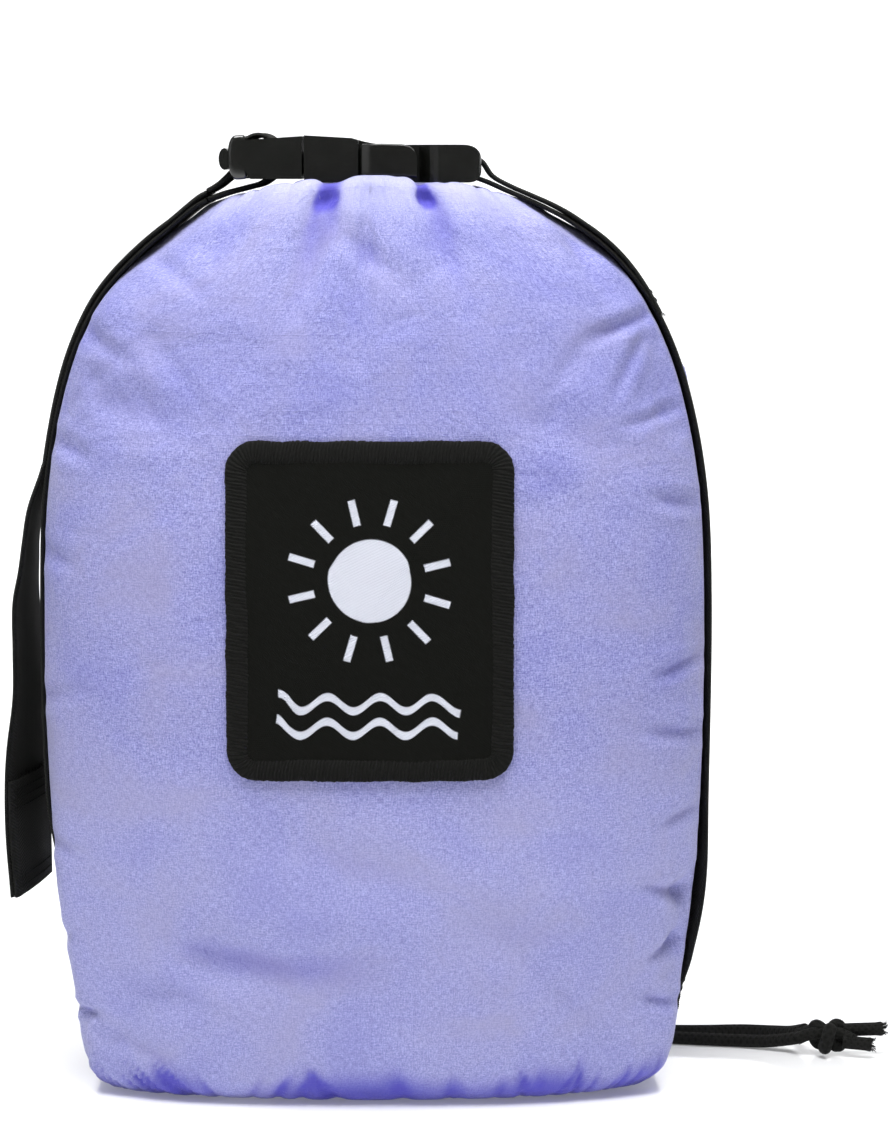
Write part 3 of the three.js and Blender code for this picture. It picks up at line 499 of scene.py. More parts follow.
# ------------------------------------------------------------------ shapes
def hump(distance: np.ndarray, width: float) -> np.ndarray:
    """A bell of the given width, 1 at distance 0."""
    return np.exp(-((distance / width) ** 2))


def ease(x: np.ndarray, low: float, high: float) -> np.ndarray:
    """A soft step from 0 at low to 1 at high."""
    share = np.clip((x - low) / (high - low), 0.0, 1.0)
    return share * share * (3 - 2 * share)


def signed_power(x: np.ndarray, power: np.ndarray | float) -> np.ndarray:
    """A power that keeps the sign."""
    return np.sign(x) * np.abs(x) ** power


def unit(v: np.ndarray) -> np.ndarray:
    """Vectors of length 1 along the last axis."""
    return v / np.maximum(np.linalg.norm(v, axis=-1, keepdims=True), 1e-12)


def run_of(line: np.ndarray) -> np.ndarray:
    """Length along a line at each of its points."""
    return np.concatenate([[0.0], np.cumsum(np.linalg.norm(np.diff(line, axis=0), axis=1))])


def evenly(line: np.ndarray, count: int) -> np.ndarray:
    """The same line with evenly spaced points."""
    run = run_of(line)
    even = np.linspace(0.0, run[-1], count)
    return np.stack([np.interp(even, run, line[:, k]) for k in range(line.shape[1])], axis=1)


def smooth_line(points: Sequence[Point], count: int) -> np.ndarray:
    """A centripetal curve through points, in even steps along its length.

    Args:
        points: the points that it passes through.
        count: how many samples to return.

    Returns:
        An array of count points.
    """
    p = np.array(points, dtype=float)
    p = np.vstack([2 * p[0] - p[1], p, 2 * p[-1] - p[-2]])
    fine = []
    for a, b, c, d in zip(p[:-3], p[1:-2], p[2:-1], p[3:]):
        t1 = max(np.linalg.norm(b - a), 1e-9) ** 0.5
        t2 = t1 + max(np.linalg.norm(c - b), 1e-9) ** 0.5
        t3 = t2 + max(np.linalg.norm(d - c), 1e-9) ** 0.5
        t = np.linspace(t1, t2, 24, endpoint=False)[:, None]
        ab = a * (t1 - t) / t1 + b * t / t1
        bc = b * (t2 - t) / (t2 - t1) + c * (t - t1) / (t2 - t1)
        cd = c * (t3 - t) / (t3 - t2) + d * (t - t2) / (t3 - t2)
        low = ab * (t2 - t) / t2 + bc * t / t2
        high = bc * (t3 - t) / (t3 - t1) + cd * (t - t1) / (t3 - t1)
        fine.append(low * (t2 - t) / (t2 - t1) + high * (t - t1) / (t2 - t1))
    return evenly(np.vstack([*fine, p[-2]]), count)


class Maker:
    """Collects grids and rings of points into one mesh with a surface map in metres."""

    def __init__(self, name: str) -> None:
        """Starts an empty piece of that name."""
        self.name = name
        self.points: list[np.ndarray] = []
        self.faces: list[list[int]] = []
        self.places: list[np.ndarray] = []
        # Painted shade in the cloth's folds, per point, which darkens its colour.
        self.fold_shades: list[np.ndarray] = []
        self.count = 0

    def _add(self, points: np.ndarray, fold: np.ndarray | None) -> int:
        """Adds points and returns the number of the first."""
        first = self.count
        self.points.append(points.reshape(-1, 3))
        self.count += self.points[-1].shape[0]
        none = np.zeros(self.points[-1].shape[0])
        self.fold_shades.append(none if fold is None else fold.reshape(-1))
        return first

    def grid(self, points: np.ndarray, place: np.ndarray, wrap: bool = False,
             fold: np.ndarray | None = None, caps: bool = False) -> None:
        """Adds a grid of quads.

        Args:
            points: rows by columns by 3.
            place: the surface map, rows by columns by 2, with one more column if it wraps.
            wrap: whether the last column joins the first.
            fold: the painted shade at each point, by how deep in a fold it is, from 0 to 1.
            caps: whether the first and last rows are closed, each with one face.
        """
        rows, columns = points.shape[:2]
        first = self._add(points, fold)
        across = columns if wrap else columns - 1
        i, j = np.meshgrid(np.arange(rows - 1), np.arange(across), indexing="ij")
        k = (j + 1) % columns
        quads = np.stack([i * columns + j, i * columns + k, (i + 1) * columns + k, (i + 1) * columns + j], -1)
        self.faces.extend((quads.reshape(-1, 4) + first).tolist())
        maps = np.stack([place[i, j], place[i, j + 1], place[i + 1, j + 1], place[i + 1, j]], 2)
        self.places.append(maps.reshape(-1, 2))
        if caps:
            for row, turn in ((0, -1), (rows - 1, 1)):
                self.faces.append((first + row * columns + np.arange(columns))[::turn].tolist())
                self.places.append(place[row, :columns][::turn])

    def tube(self, path: np.ndarray, radius: np.ndarray | float, sides: int = 12, start: float = 0.0) -> None:
        """Adds a closed round tube along a path.

        Args:
            path: the centre line.
            radius: one radius, or one for each point.
            sides: how many sides the section has.
            start: the run along the cord at which this tube starts.
        """
        along = unit(np.gradient(path, axis=0))
        side = np.cross(along[0], [0.0, 0.0, 1.0])
        if np.linalg.norm(side) < 0.1:
            side = np.cross(along[0], [1.0, 0.0, 0.0])
        frames = []
        side = side / np.linalg.norm(side)
        for direction in along:
            side = side - direction * (side @ direction)
            side = side / np.linalg.norm(side)
            frames.append((side, np.cross(direction, side)))
        turn = np.linspace(0.0, 2 * math.pi, sides, endpoint=False)
        sides_at = np.array([f[0] for f in frames])[:, None, :]
        ups_at = np.array([f[1] for f in frames])[:, None, :]
        size = np.broadcast_to(radius, (path.shape[0],))[:, None, None]
        wheel = sides_at * np.cos(turn)[None, :, None] + ups_at * np.sin(turn)[None, :, None]
        ring = path[:, None, :] + size * wheel
        full = np.linspace(0.0, 2 * math.pi * float(np.max(radius)), sides + 1)
        run = run_of(path) + start
        place = np.stack(np.broadcast_arrays(full[None, :], run[:, None]), -1)
        self.grid(ring, place, wrap=True, caps=True)

    def loft(self, stations: Sequence[Sequence[float]], radius: float) -> None:
        """Adds a rounded bar of changing section along X, in millimetres.

        Args:
            stations: x, middle y, half width, lowest z and highest z of each section.
            radius: the rounding of its corners and ends.
        """
        table = np.array(stations, dtype=float)
        turn = np.radians(np.linspace(0, 72, 4))
        first, last = table[:1], table[-1:]
        inset = radius * (1 - np.cos(turn))[:, None]
        shift = radius * np.sin(turn)[:, None]
        ends = []
        for end, way in ((first, 1), (last, -1)):
            rows = np.repeat(end, 4, axis=0)
            rows[:, 0:1] -= way * shift - way * radius
            rows[:, 2:3] -= inset
            rows[:, 3:4] += inset
            rows[:, 4:5] -= inset
            ends.append(rows)
        table = np.vstack([ends[0][::-1], table[1:-1], ends[1]])
        angle = np.linspace(0.0, 2 * math.pi, 48, endpoint=False)
        c, s = np.cos(angle)[None, :], np.sin(angle)[None, :]
        half, tall = table[:, 2:3], (table[:, 4:5] - table[:, 3:4]) / 2
        round_off = 2 / (2 + 3.2 * np.minimum(half, tall) / radius)
        y = table[:, 1:2] + half * signed_power(c, round_off)
        z = (table[:, 3:4] + table[:, 4:5]) / 2 + tall * signed_power(s, round_off)
        points = np.stack([np.broadcast_to(table[:, :1], y.shape), y, z], -1) * MM
        place = np.stack(np.broadcast_arrays(table[:, :1] * MM, np.linspace(0, 0.1, 49)[None, :]), -1)
        self.grid(points, place, wrap=True, caps=True)

    def stitch(self, start: np.ndarray, end: np.ndarray, lift: np.ndarray, radius: float) -> None:
        """Adds one arched stitch of thread between two holes."""
        share = np.linspace(0.0, 1.0, 6)[:, None]
        arch = np.sin(share * math.pi)
        path = start + (end - start) * share + lift * arch
        size = radius * (0.45 + 0.55 * np.sin(share[:, 0] * math.pi) ** 0.5)
        self.tube(path, size, 6)

    def build(self, material: bpy.types.Material, body: str, slot: str) -> bpy.types.Object:
        """Makes the object, and lets it ride on a body.

        Args:
            material: its finish.
            body: the body that it moves with.
            slot: the record's material slot; not used.

        Returns:
            The finished object.
        """
        mesh = bpy.data.meshes.new(self.name)
        mesh.from_pydata(np.vstack(self.points).tolist(), [], self.faces)
        layer = mesh.uv_layers.new(name=WEAVE_MAP)
        layer.uv.foreach_set("vector", np.vstack(self.places).astype(np.float32).ravel())
        # Painted shade: stored per point so that the cloth's colour darkens toward the fold shade colour.
        fold = mesh.attributes.new("fold", "FLOAT", "POINT")
        fold.data.foreach_set("value", np.concatenate(self.fold_shades).astype(np.float32))
        mesh.polygons.foreach_set("use_smooth", [True] * len(mesh.polygons))
        mesh.materials.append(material)
        mesh.update()
        piece = bpy.data.objects.new(self.name, mesh)
        bpy.context.scene.collection.objects.link(piece)
        if body:
            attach(piece, body)
        log.info("%s: %d points", self.name, self.count)
        return piece


# ------------------------------------------------------------------ the cloth sack
@dataclass(frozen=True)
class Pleat:
    """One gather of cloth that runs out from a seam."""

    turn: float  # place round the bag: 0 right, 90 back, 180 left, 270 front, in degrees
    depth: float
    width: float
    reach: float  # how far it runs out from the seam
    start: float = 0.0  # how far from the seam it is deepest


@dataclass(frozen=True)
class Bulge:
    """A place where the filled cloth stands out further."""

    middle: tuple[float, float, float]
    reach: float
    height: float


@dataclass(frozen=True)
class Crease:
    """One crease in a wall, from one place on it to another (across the bag, and height)."""

    start: tuple[float, float]
    end: tuple[float, float]
    width: float
    depth: float


class Wall(Enum):
    """The two cloth walls, with the sign of their side of the bag."""

    FRONT = -1
    BACK = 1


BULGES = tuple(Bulge(*line) for line in (
    ((109, 38, 268), 27, 12.5), ((70, -34, 325), 11, 3.8), ((86, -31, 312), 9, 2.6),
    ((117, -32, 77), 6, -5.0), ((115, -32, 58.5), 6, -4.4), ((118, -31, 90), 7, 1.8),
    ((106, -42, 262), 15, -2.2), ((-96, -42, 292), 16, 1.6), ((96, -40, 297), 9, 1.4),
    ((0, -64, 96), 30, 2.0), ((-70, -60, 66), 22, -2.4), ((66, -60, 74), 24, 1.6),
    ((-40, 60, 210), 34, 4.0), ((50, 60, 150), 30, -3.0), ((10, 58, 90), 26, 3.0),
))
FRONT_CREASES = tuple(Crease(*line) for line in (
    ((-88, 330), (-87, 314), 2.6, 2.0), ((-66, 58), (18, 48), 8.0, 3.0), ((-20, 62), (30, 58), 6.0, 1.2),
    ((-34, 37), (40, 33), 8.0, 1.4), ((102, 292), (80, 284), 2.4, 2.2), ((100, 284), (88, 262), 2.2, 1.4),
    ((114, 258), (92, 252), 2.0, 1.5), ((118, 223), (103, 226), 2.6, 2.0),
    ((121, 165), (104, 160), 2.6, 2.2), ((121, 137), (100, 141), 3.0, 2.2),
    ((120, 108), (107, 104), 2.6, 1.8), ((118, 76), (99, 82), 2.8, 2.4), ((116, 58), (102, 53), 2.6, 2.2),
    ((112, 35), (99, 39), 2.4, 2.4), ((-108, 33), (-100, 31), 1.8, 2.4), ((-98, 24), (-72, 16), 3.0, 1.2),
    ((-90, 44), (-56, 36), 5.0, 1.5), ((-114, 60), (-104, 63), 3.0, 1.0), ((-30, 100), (26, 84), 9.0, 1.4),
    ((40, 70), (84, 62), 8.0, 1.2), ((-96, 262), (-60, 250), 7.0, 1.2), ((60, 256), (98, 240), 7.0, 1.1),
    ((-84, 316), (-60, 300), 3.0, 1.3), ((-10, 322), (20, 300), 4.0, 1.0),
    ((-119, 96), (-108, 92), 2.6, 1.4), ((-121, 150), (-109, 154), 3.0, 1.2),
    ((-121, 205), (-108, 201), 3.0, 1.4), ((-116, 246), (-103, 240), 3.0, 1.6),
    ((-104, 286), (-91, 276), 3.0, 1.6), ((-42, 331), (-66, 296), 5.0, 1.2),
    ((46, 331), (70, 292), 5.0, 1.2), ((66, 325), (88, 300), 3.2, 1.6), ((2, 334), (-8, 282), 6.5, 1.3),
    ((24, 330), (38, 288), 5.5, 1.4), ((-18, 326), (-30, 286), 5.5, 1.3),
))
BACK_CREASES = tuple(Crease(*line) for line in (
    ((-60, 318), (-84, 268), 5.0, 2.0), ((-24, 326), (-46, 262), 6.0, 2.2),
    ((30, 326), (52, 270), 6.0, 2.0), ((70, 316), (92, 262), 5.0, 2.2), ((112, 240), (84, 226), 4.0, 2.0),
    ((-113, 222), (-88, 212), 4.0, 1.8), ((116, 170), (90, 178), 4.0, 1.8),
    ((-118, 140), (-92, 150), 4.0, 2.0), ((-70, 96), (34, 112), 11.0, 2.4), ((20, 58), (92, 44), 9.0, 2.2),
    ((-106, 62), (-78, 70), 4.0, 2.0), ((110, 84), (88, 90), 4.0, 2.0),
))


@dataclass(frozen=True)
class Mouth:
    """The line of the gathered hem round the bag's mouth."""

    half_width: float = 58 * MM
    half_depth: float = 38 * MM
    crest: float = 336 * MM
    dip: float = 8.6 * MM
    round_off: float = 2.2

    def line(self, turns: np.ndarray, inset: float = 0.0) -> np.ndarray:
        """Points on the line.

        Args:
            turns: their angles round the mouth.
            inset: how far the front and the back are drawn in.

        Returns:
            The points.
        """
        c, s = np.cos(turns), np.sin(turns)
        x = self.half_width * signed_power(c, 2 / self.round_off)
        y = (self.half_depth - inset) * signed_power(s, 2 / self.round_off)
        return np.stack([x, y, self.crest - self.dip * c * c], -1)


@dataclass
class Sack:
    """The stuffed cloth sack: two walls, a base and the gathered hem round the mouth."""

    rows: int = 191
    columns: int = 320
    right: tuple = (
        (91, 0.3), (101.5, 2.4), (108, 7.5), (112, 18), (114.6, 36), (117.6, 57), (120.6, 84),
        (122.4, 111), (123.4, 148), (123.4, 185), (121.8, 222), (117.6, 250), (110.8, 275),
        (101.2, 295.5), (89.4, 312), (78.4, 321.5), (70.8, 325.8), (66, 328.4), (63.2, 330.4),
        (60.8, 331.8), (57.6, 332.4),
    )
    left: tuple = (
        (-92, 0.3), (-101, 2.2), (-105.6, 7), (-107.8, 18), (-110, 36), (-113.8, 57), (-118, 84),
        (-120.2, 111), (-121.6, 148), (-121.6, 185), (-120.2, 222), (-115.8, 252), (-109, 277),
        (-99.4, 296.5), (-86.5, 311.6), (-76, 320.9), (-69.6, 325.4), (-65.8, 328.2),
        (-63, 330.4), (-60.8, 331.8), (-57.6, 332.4),
    )
    front: tuple = (
        (-40, 0.3), (-49, 1.8), (-54.5, 7), (-57.5, 19), (-60, 44), (-62.4, 80), (-64.5, 120),
        (-65.6, 160), (-65, 200), (-62.4, 240), (-58.6, 275), (-54.4, 303), (-50.6, 320),
        (-47.2, 331), (-44.4, 337.6), (-41.6, 341.2), (-38.6, 342.2), (-36.2, 341.8),
    )
    back: tuple = (
        (37, 0.3), (46, 2), (51, 8), (54, 19), (56.8, 44), (59, 80), (60.6, 120),
        (61, 160), (60.4, 200), (58.6, 240), (56, 275), (52.6, 303), (49.4, 320),
        (46.4, 331), (44, 337.4), (41.4, 340.9), (38.6, 341.8), (36.2, 341.4),
    )
    strap_half: float = 27 * MM
    mouth: Mouth = field(default_factory=Mouth)
    hem_radius: float = 4.7 * MM
    hem_length: float = 0.64
    growth: float = 0.075
    pressure: float = 3.2
    cap: float = 7 * MM
    frames: int = 24
    puckers: tuple[tuple[float, float], ...] = ((-12.2 * MM, 3.8 * MM), (15.2 * MM, 2.8 * MM))
    wall_cut: tuple[float, float] = (0.330, 0.365)
    base_cut: tuple[float, float] = (0.200, 0.095)
    base_share: float = 0.93  # what its rounded corners leave of the base's rectangle
    finish: RipstopCloth = field(default_factory=RipstopCloth)

    def __post_init__(self) -> None:
        """Works out the walls once, because the patch and the straps lie on them."""
        self.outlines = [smooth_line(np.array(line) * MM, self.rows)
                         for line in (self.right, self.left, self.front, self.back)]
        self.share = np.linspace(0.0, 1.0, self.rows)[:, None]
        self.turns = self._even_turns()
        self.pleats = self._mouth_pleats()
        # self.depth is the painted shade at each point of the walls, from 0 to 1.
        self.skin, self.depth = self._folded(self._filled(self._blank()))

    def _even_turns(self) -> np.ndarray:
        """Angles round the bag that are evenly spaced along its girth."""
        fine = np.linspace(0.0, 2 * math.pi, 2881)
        ring = np.stack([121 * signed_power(np.cos(fine), 0.72), 63 * signed_power(np.sin(fine), 0.72)], 1)
        run = run_of(ring)
        return np.interp(np.linspace(0.0, run[-1], self.columns + 1)[:-1], run, fine)

    def _mouth_pleats(self) -> list[Pleat]:
        """Uneven gathers round the mouth, with the two deep ones in front."""
        chance = np.random.default_rng(11)
        pleats = []
        count = 34
        for i in range(count):
            turn = 360 * (i + chance.uniform(-0.32, 0.32)) / count
            quiet = 0.35 if abs(turn - 90) < 16 or min(turn, 360 - turn, abs(turn - 180)) < 28 else 1.0
            if 240 < turn < 300:
                quiet = 0.55
            pleats.append(Pleat(turn, quiet * chance.uniform(0.8, 2.0) * MM,
                                chance.uniform(1.5, 2.6) * MM, chance.uniform(9, 40) * MM))
        for place, start in self.puckers:
            turn = 270 + math.degrees(math.asin(place / (62 * MM)))
            pleats.append(Pleat(turn, 3.6 * MM, 2.1 * MM, 3.2 * MM, start))
            pleats.append(Pleat(turn + 1.5, 1.5 * MM, 4.5 * MM, 34 * MM))
        return pleats

    def _blank(self) -> np.ndarray:
        """The sack without a fold: rows up the walls, columns round them.

        Returns:
            Rows by columns by 3.
        """
        right, left, front, back = self.outlines
        c = np.cos(self.turns)[None, :]
        s = np.sin(self.turns)[None, :]
        width = np.where(c > 0, right[:, :1], -left[:, :1])
        depth = np.where(s > 0, back[:, :1], -front[:, :1])
        side = np.where(c > 0, right[:, 1:], left[:, 1:])
        crest = np.where(s > 0, back[:, 1:], front[:, 1:])
        belly = 1 - ease(self.share, 0.66, 0.97)
        round_off = 2.3 + 0.6 * belly
        edge = np.minimum(self.strap_half, 0.6 * depth)
        swell = (1 - (edge / depth) ** round_off) ** (-1 / round_off)
        swell = 1 + (swell - 1) * (1 - ease(self.share, 0.84, 0.93))
        x = width * swell * np.abs(c) ** (2 / round_off)
        y = depth * signed_power(s, 2 / round_off)
        x = np.where(x > width, width + 0.12 * (x - width), x)
        x = np.sign(c) * x
        middle = hump(x - 2 * MM, 16 * MM) * ease(self.share, 0.86, 0.97) * 0.5 * MM
        return np.stack([x, y, crest + (side - crest) * c * c + middle * (s < 0)], -1)

    def _normals(self, skin: np.ndarray) -> np.ndarray:
        """Outward normals of a skin."""
        across = np.roll(skin, -1, axis=1) - np.roll(skin, 1, axis=1)
        return unit(np.cross(across, np.gradient(skin, axis=0)))

    def _under_strap(self, skin: np.ndarray) -> np.ndarray:
        """1 where the webbing lies on the cloth, 0 away from it."""
        side = ease(np.abs(np.cos(self.turns))[None, :], 0.35, 0.6)
        return (1 - ease(np.abs(skin[..., 1]), 24 * MM, 29 * MM)) * side

    def _filled(self, blank: np.ndarray) -> np.ndarray:
        """The sack after a cloth simulation has blown it up between its seams.

        Args:
            blank: the sack without a fold.

        Returns:
            The filled sack, of the same shape.
        """
        coarse = blank[::2, ::2]
        rows, columns = coarse.shape[:2]
        share = self.share[::2]
        strap = self._under_strap(blank)[::2, ::2]
        seam = np.maximum(1 - ease(share, 0.0, 0.02), ease(share, 0.965, 0.985))
        held = np.clip(np.maximum(strap, seam), 0, 1)
        near = np.exp(-((np.abs(coarse[..., 1]) - 36 * MM) / (16 * MM)) ** 2)
        near = near * np.abs(np.cos(self.turns[::2]))[None, :] ** 0.5
        grow = np.clip(near + 0.75 * ease(share, 0.72, 0.9) + 0.6 * (1 - ease(share, 0.04, 0.2)) + 0.18, 0, 1)
        maker = Maker("cloth_under_test")
        place = np.zeros((rows, columns + 1, 2))
        maker.grid(coarse, place, wrap=True)
        obj = maker.build(bpy.data.materials.new("blank"), "", "")
        for name, weights in (("held", held), ("grow", grow)):
            group = obj.vertex_groups.new(name=name)
            for number, weight in enumerate(np.broadcast_to(weights, (rows, columns)).ravel()):
                if weight > 0.01:
                    group.add([number], float(weight), "REPLACE")
        cloth = obj.modifiers.new("cloth", "CLOTH")
        cloth.point_cache.frame_start = 1
        cloth.point_cache.frame_end = self.frames
        cloth.collision_settings.use_collision = False
        settings = cloth.settings
        settings.quality = 6
        settings.mass = 0.18
        settings.tension_stiffness = 14
        settings.compression_stiffness = 14
        settings.shear_stiffness = 5
        settings.bending_stiffness = 0.25
        settings.air_damping = 2.0
        settings.use_pressure = True
        settings.uniform_pressure_force = self.pressure
        settings.effector_weights.gravity = 0.0
        settings.vertex_group_mass = "held"
        settings.pin_stiffness = 1.0
        settings.shrink_min = 0.0
        settings.shrink_max = -self.growth
        settings.vertex_group_shrink = "grow"
        scene = bpy.context.scene
        for number in range(1, self.frames + 1):
            scene.frame_set(number)
        result = obj.evaluated_get(bpy.context.evaluated_depsgraph_get()).to_mesh()
        moved = np.empty(rows * columns * 3, dtype=np.float32)
        result.vertices.foreach_get("co", moved)
        scene.frame_set(1)
        bpy.data.objects.remove(obj, do_unlink=True)
        shift = moved.reshape(rows, columns, 3) - coarse
        size = np.linalg.norm(shift, axis=-1, keepdims=True)
        shift = shift * (self.cap * np.tanh(size / self.cap) / np.maximum(size, 1e-9))
        shift = self._finer(self._finer(shift, False).transpose(1, 0, 2), True).transpose(1, 0, 2)
        return blank + shift * (1 - self._under_strap(blank)[..., None] * 0.9)

    def _finer(self, coarse: np.ndarray, around: bool) -> np.ndarray:
        """Doubles the rows of a grid with a smooth curve through them.

        Args:
            coarse: the grid.
            around: whether its last row is followed by its first.

        Returns:
            The finer grid.
        """
        if around:
            p = np.concatenate([coarse[-1:], coarse, coarse[:2]])
        else:
            p = np.concatenate([coarse[:1], coarse, coarse[-1:]])
        between = (-p[:-3] + 9 * p[1:-2] + 9 * p[2:-1] - p[3:]) / 16
        count = coarse.shape[0]
        fine = np.empty((2 * count if around else 2 * count - 1, *coarse.shape[1:]))
        fine[::2] = coarse
        fine[1::2] = between[: fine[1::2].shape[0]]
        return fine

    def pleat_depth(self, turns: np.ndarray, away: np.ndarray) -> np.ndarray:
        """Depth of the mouth's gathers.

        Args:
            turns: angles round the mouth, in radians.
            away: distance from the hem, of a shape that goes with turns.

        Returns:
            The depth at each place.
        """
        depth = np.zeros(np.broadcast(turns, away).shape)
        for pleat in self.pleats:
            gap = np.angle(np.exp(1j * (turns - math.radians(pleat.turn)))) * (52 * MM)
            spread = pleat.width * (1 + away / (40 * MM))
            depth += pleat.depth * hump(gap, spread) * hump(away - pleat.start, pleat.reach)
        return depth

    def _creased(self, skin: np.ndarray, wall: Wall, creases: Sequence[Crease]) -> np.ndarray:
        """Depth of one wall's creases at each point of the skin."""
        place = skin[..., [0, 2]] / MM
        depth = np.zeros(skin.shape[:2])
        for crease in creases:
            start, end = np.array(crease.start, float), np.array(crease.end, float)
            run = end - start
            share = np.clip(((place - start) @ run) / (run @ run), 0, 1)
            off = np.linalg.norm(place - start - share[..., None] * run, axis=-1)
            fade = np.sin(math.pi * (0.2 + 0.75 * share)) ** 0.8
            depth += crease.depth * MM * fade * np.exp(-((off / crease.width) ** 2))
            depth -= 0.35 * crease.depth * MM * fade * hump(off - 2 * crease.width, crease.width)
        return depth * (wall.value * skin[..., 1] > 0)

    def _folded(self, skin: np.ndarray) -> tuple[np.ndarray, np.ndarray]:
        """Adds gathers, scallops and creases.

        Args:
            skin: the filled sack.

        Returns:
            The folded sack, and the painted shade at each point, from 0 to 1: deepest in gathers and creases,
            and near the base.
        """
        out = self._normals(skin)
        run = np.concatenate([np.zeros((1, self.columns)),
                              np.cumsum(np.linalg.norm(np.diff(skin, axis=0), axis=-1), axis=0)])
        away = np.maximum(run[-1:] - run - 9 * MM, 0)
        turns = self.turns[None, :]
        mouth = self.pleat_depth(turns, away)
        chance = np.random.default_rng(5)
        base = np.zeros_like(run)
        for i in range(74):
            middle = 2 * math.pi * (i + chance.uniform(-0.35, 0.35)) / 74
            slant = chance.uniform(-0.5, 0.5)
            strong = 2.4 if 3.6 < middle < 4.25 else 1.0
            if strong > 1:
                slant = -1.0
            gap = np.angle(np.exp(1j * (turns - middle))) * (96 * MM) - slant * skin[..., 2]
            reach = chance.uniform(7, 15) * MM
            size = strong * chance.uniform(0.45, 1.3) * MM
            base += size * hump(gap, 1.5 * MM) * hump(skin[..., 2] - 5 * MM, reach)
        strap = self._under_strap(skin)
        beside = hump(np.abs(skin[..., 1]) - 33 * MM, 7 * MM) * ease(np.abs(np.cos(turns)), 0.3, 0.7)
        height = skin[..., 2] / MM
        swing = 0.5 * np.sin(height / 9.5 + 2 * np.sin(height / 31)) + 0.5 * np.sin(height / 17 + 1.3)
        left = np.cos(turns) < 0
        scallop = np.where(left, 0.2, -0.4) + 0.8 * swing * ease(height, 12, 40)
        tuck = np.where(left, 1 - ease(height, 74, 112), 1 - ease(height, 32, 50))
        scallop = scallop + 2.8 * tuck * ease(height, 3, 12)
        scallop = beside * scallop * MM * (1 - ease(height, 296, 318))
        patch = (1 - ease(np.abs(skin[..., 0]), 52 * MM, 62 * MM)) * (np.sin(turns) < 0)
        patch = patch * (1 - ease(np.abs(skin[..., 2] - 183 * MM), 62 * MM, 72 * MM))
        creases = self._creased(skin, Wall.FRONT, FRONT_CREASES)
        creases = creases + self._creased(skin, Wall.BACK, BACK_CREASES)
        swell = np.zeros_like(run)
        for bulge in BULGES:
            gap = np.linalg.norm(skin / MM - bulge.middle, axis=-1)
            swell += bulge.height * MM * hump(gap, bulge.reach)
        drop = (mouth + base + creases) * (1 - 0.92 * strap) * (1 - patch)
        folded = skin - out * (drop - (scallop + swell) * (1 - strap))[..., None]
        folded[..., 2] = np.maximum(folded[..., 2], 0.25 * MM)
        free = 62.2 * MM + 12 * MM * ease(np.abs(folded[..., 0]), 15 * MM, 40 * MM)
        folded[..., 1] = np.minimum(folded[..., 1], free)
        # Painted shade: the cloth is coloured darker in the mouth's gathers, the base's gathers and the
        # creases, and in a wavy band along the base.
        fold = (mouth / (2.6 * MM)) ** 2.2 + base / (2.6 * MM) + np.maximum(creases, 0) / (6 * MM)
        ripple = 0.5 * np.sin(5 * turns + 2.2 * np.sin(3 * turns)) + 0.5 * np.sin(11 * turns + 1)
        shade = (1 - ease(height, 3, 16 + 7 * ripple)) * (0.66 + 0.3 * ripple)
        fold = np.clip(fold + np.maximum(shade, 0), 0, 1)
        return folded, fold * (1 - strap)

    def place_map(self) -> np.ndarray:
        """The surface map: across the cloth by girth, along it by height up the wall."""
        girth = np.linspace(0.0, 0.640, self.columns + 1)
        rise = np.linspace(0.0, 0.395, self.rows)
        return np.stack(np.broadcast_arrays(girth[None, :], rise[:, None]), -1)

    def side_line(self, side: int) -> np.ndarray:
        """The line of cloth in the middle of one side, for the webbing that lies on it.

        Args:
            side: 1 on the right and -1 on the left.

        Returns:
            Points from the base up, x and z.
        """
        column = 0 if side > 0 else self.columns // 2
        line = self.skin[:, column][:, [0, 2]]
        kernel = np.ones(9) / 9
        soft = np.stack([np.convolve(np.pad(line[:, k], 4, "edge"), kernel, "valid") for k in (0, 1)], 1)
        return soft

    def press_patch(self, seat: "PatchSeat") -> None:
        """Holds the cloth under the patch behind the patch's own smooth back."""
        front = self.skin[..., 1] < 0
        x, y, z = (self.skin[..., k] for k in range(3))
        inside = front & (np.abs(x) < 55 * MM) & (np.abs(z - seat.middle) < 65 * MM)
        self.skin[..., 1] = np.where(inside, np.maximum(y, seat.depth_at(x, z) + 0.3 * MM), y)

    def build(self) -> None:
        """Makes the two walls, the base and the hem."""
        cloth = self.finish.material()
        place = self.place_map()
        half = self.columns // 2
        spans = {"back_panel": np.arange(0, half + 1), "front_panel": np.arange(half, self.columns + 1)}
        for node, span in spans.items():
            maker = Maker(node + "_cloth")
            columns = span % self.columns
            # The walls carry the painted shade of their folds, for the cloth's colour.
            maker.grid(self.skin[:, columns], place[:, span], fold=self.depth[:, columns])
            wall = maker.build(cloth, "bag", "cloth")
            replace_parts(wall, node)
        self._build_base(cloth)
        self._build_hem(cloth)

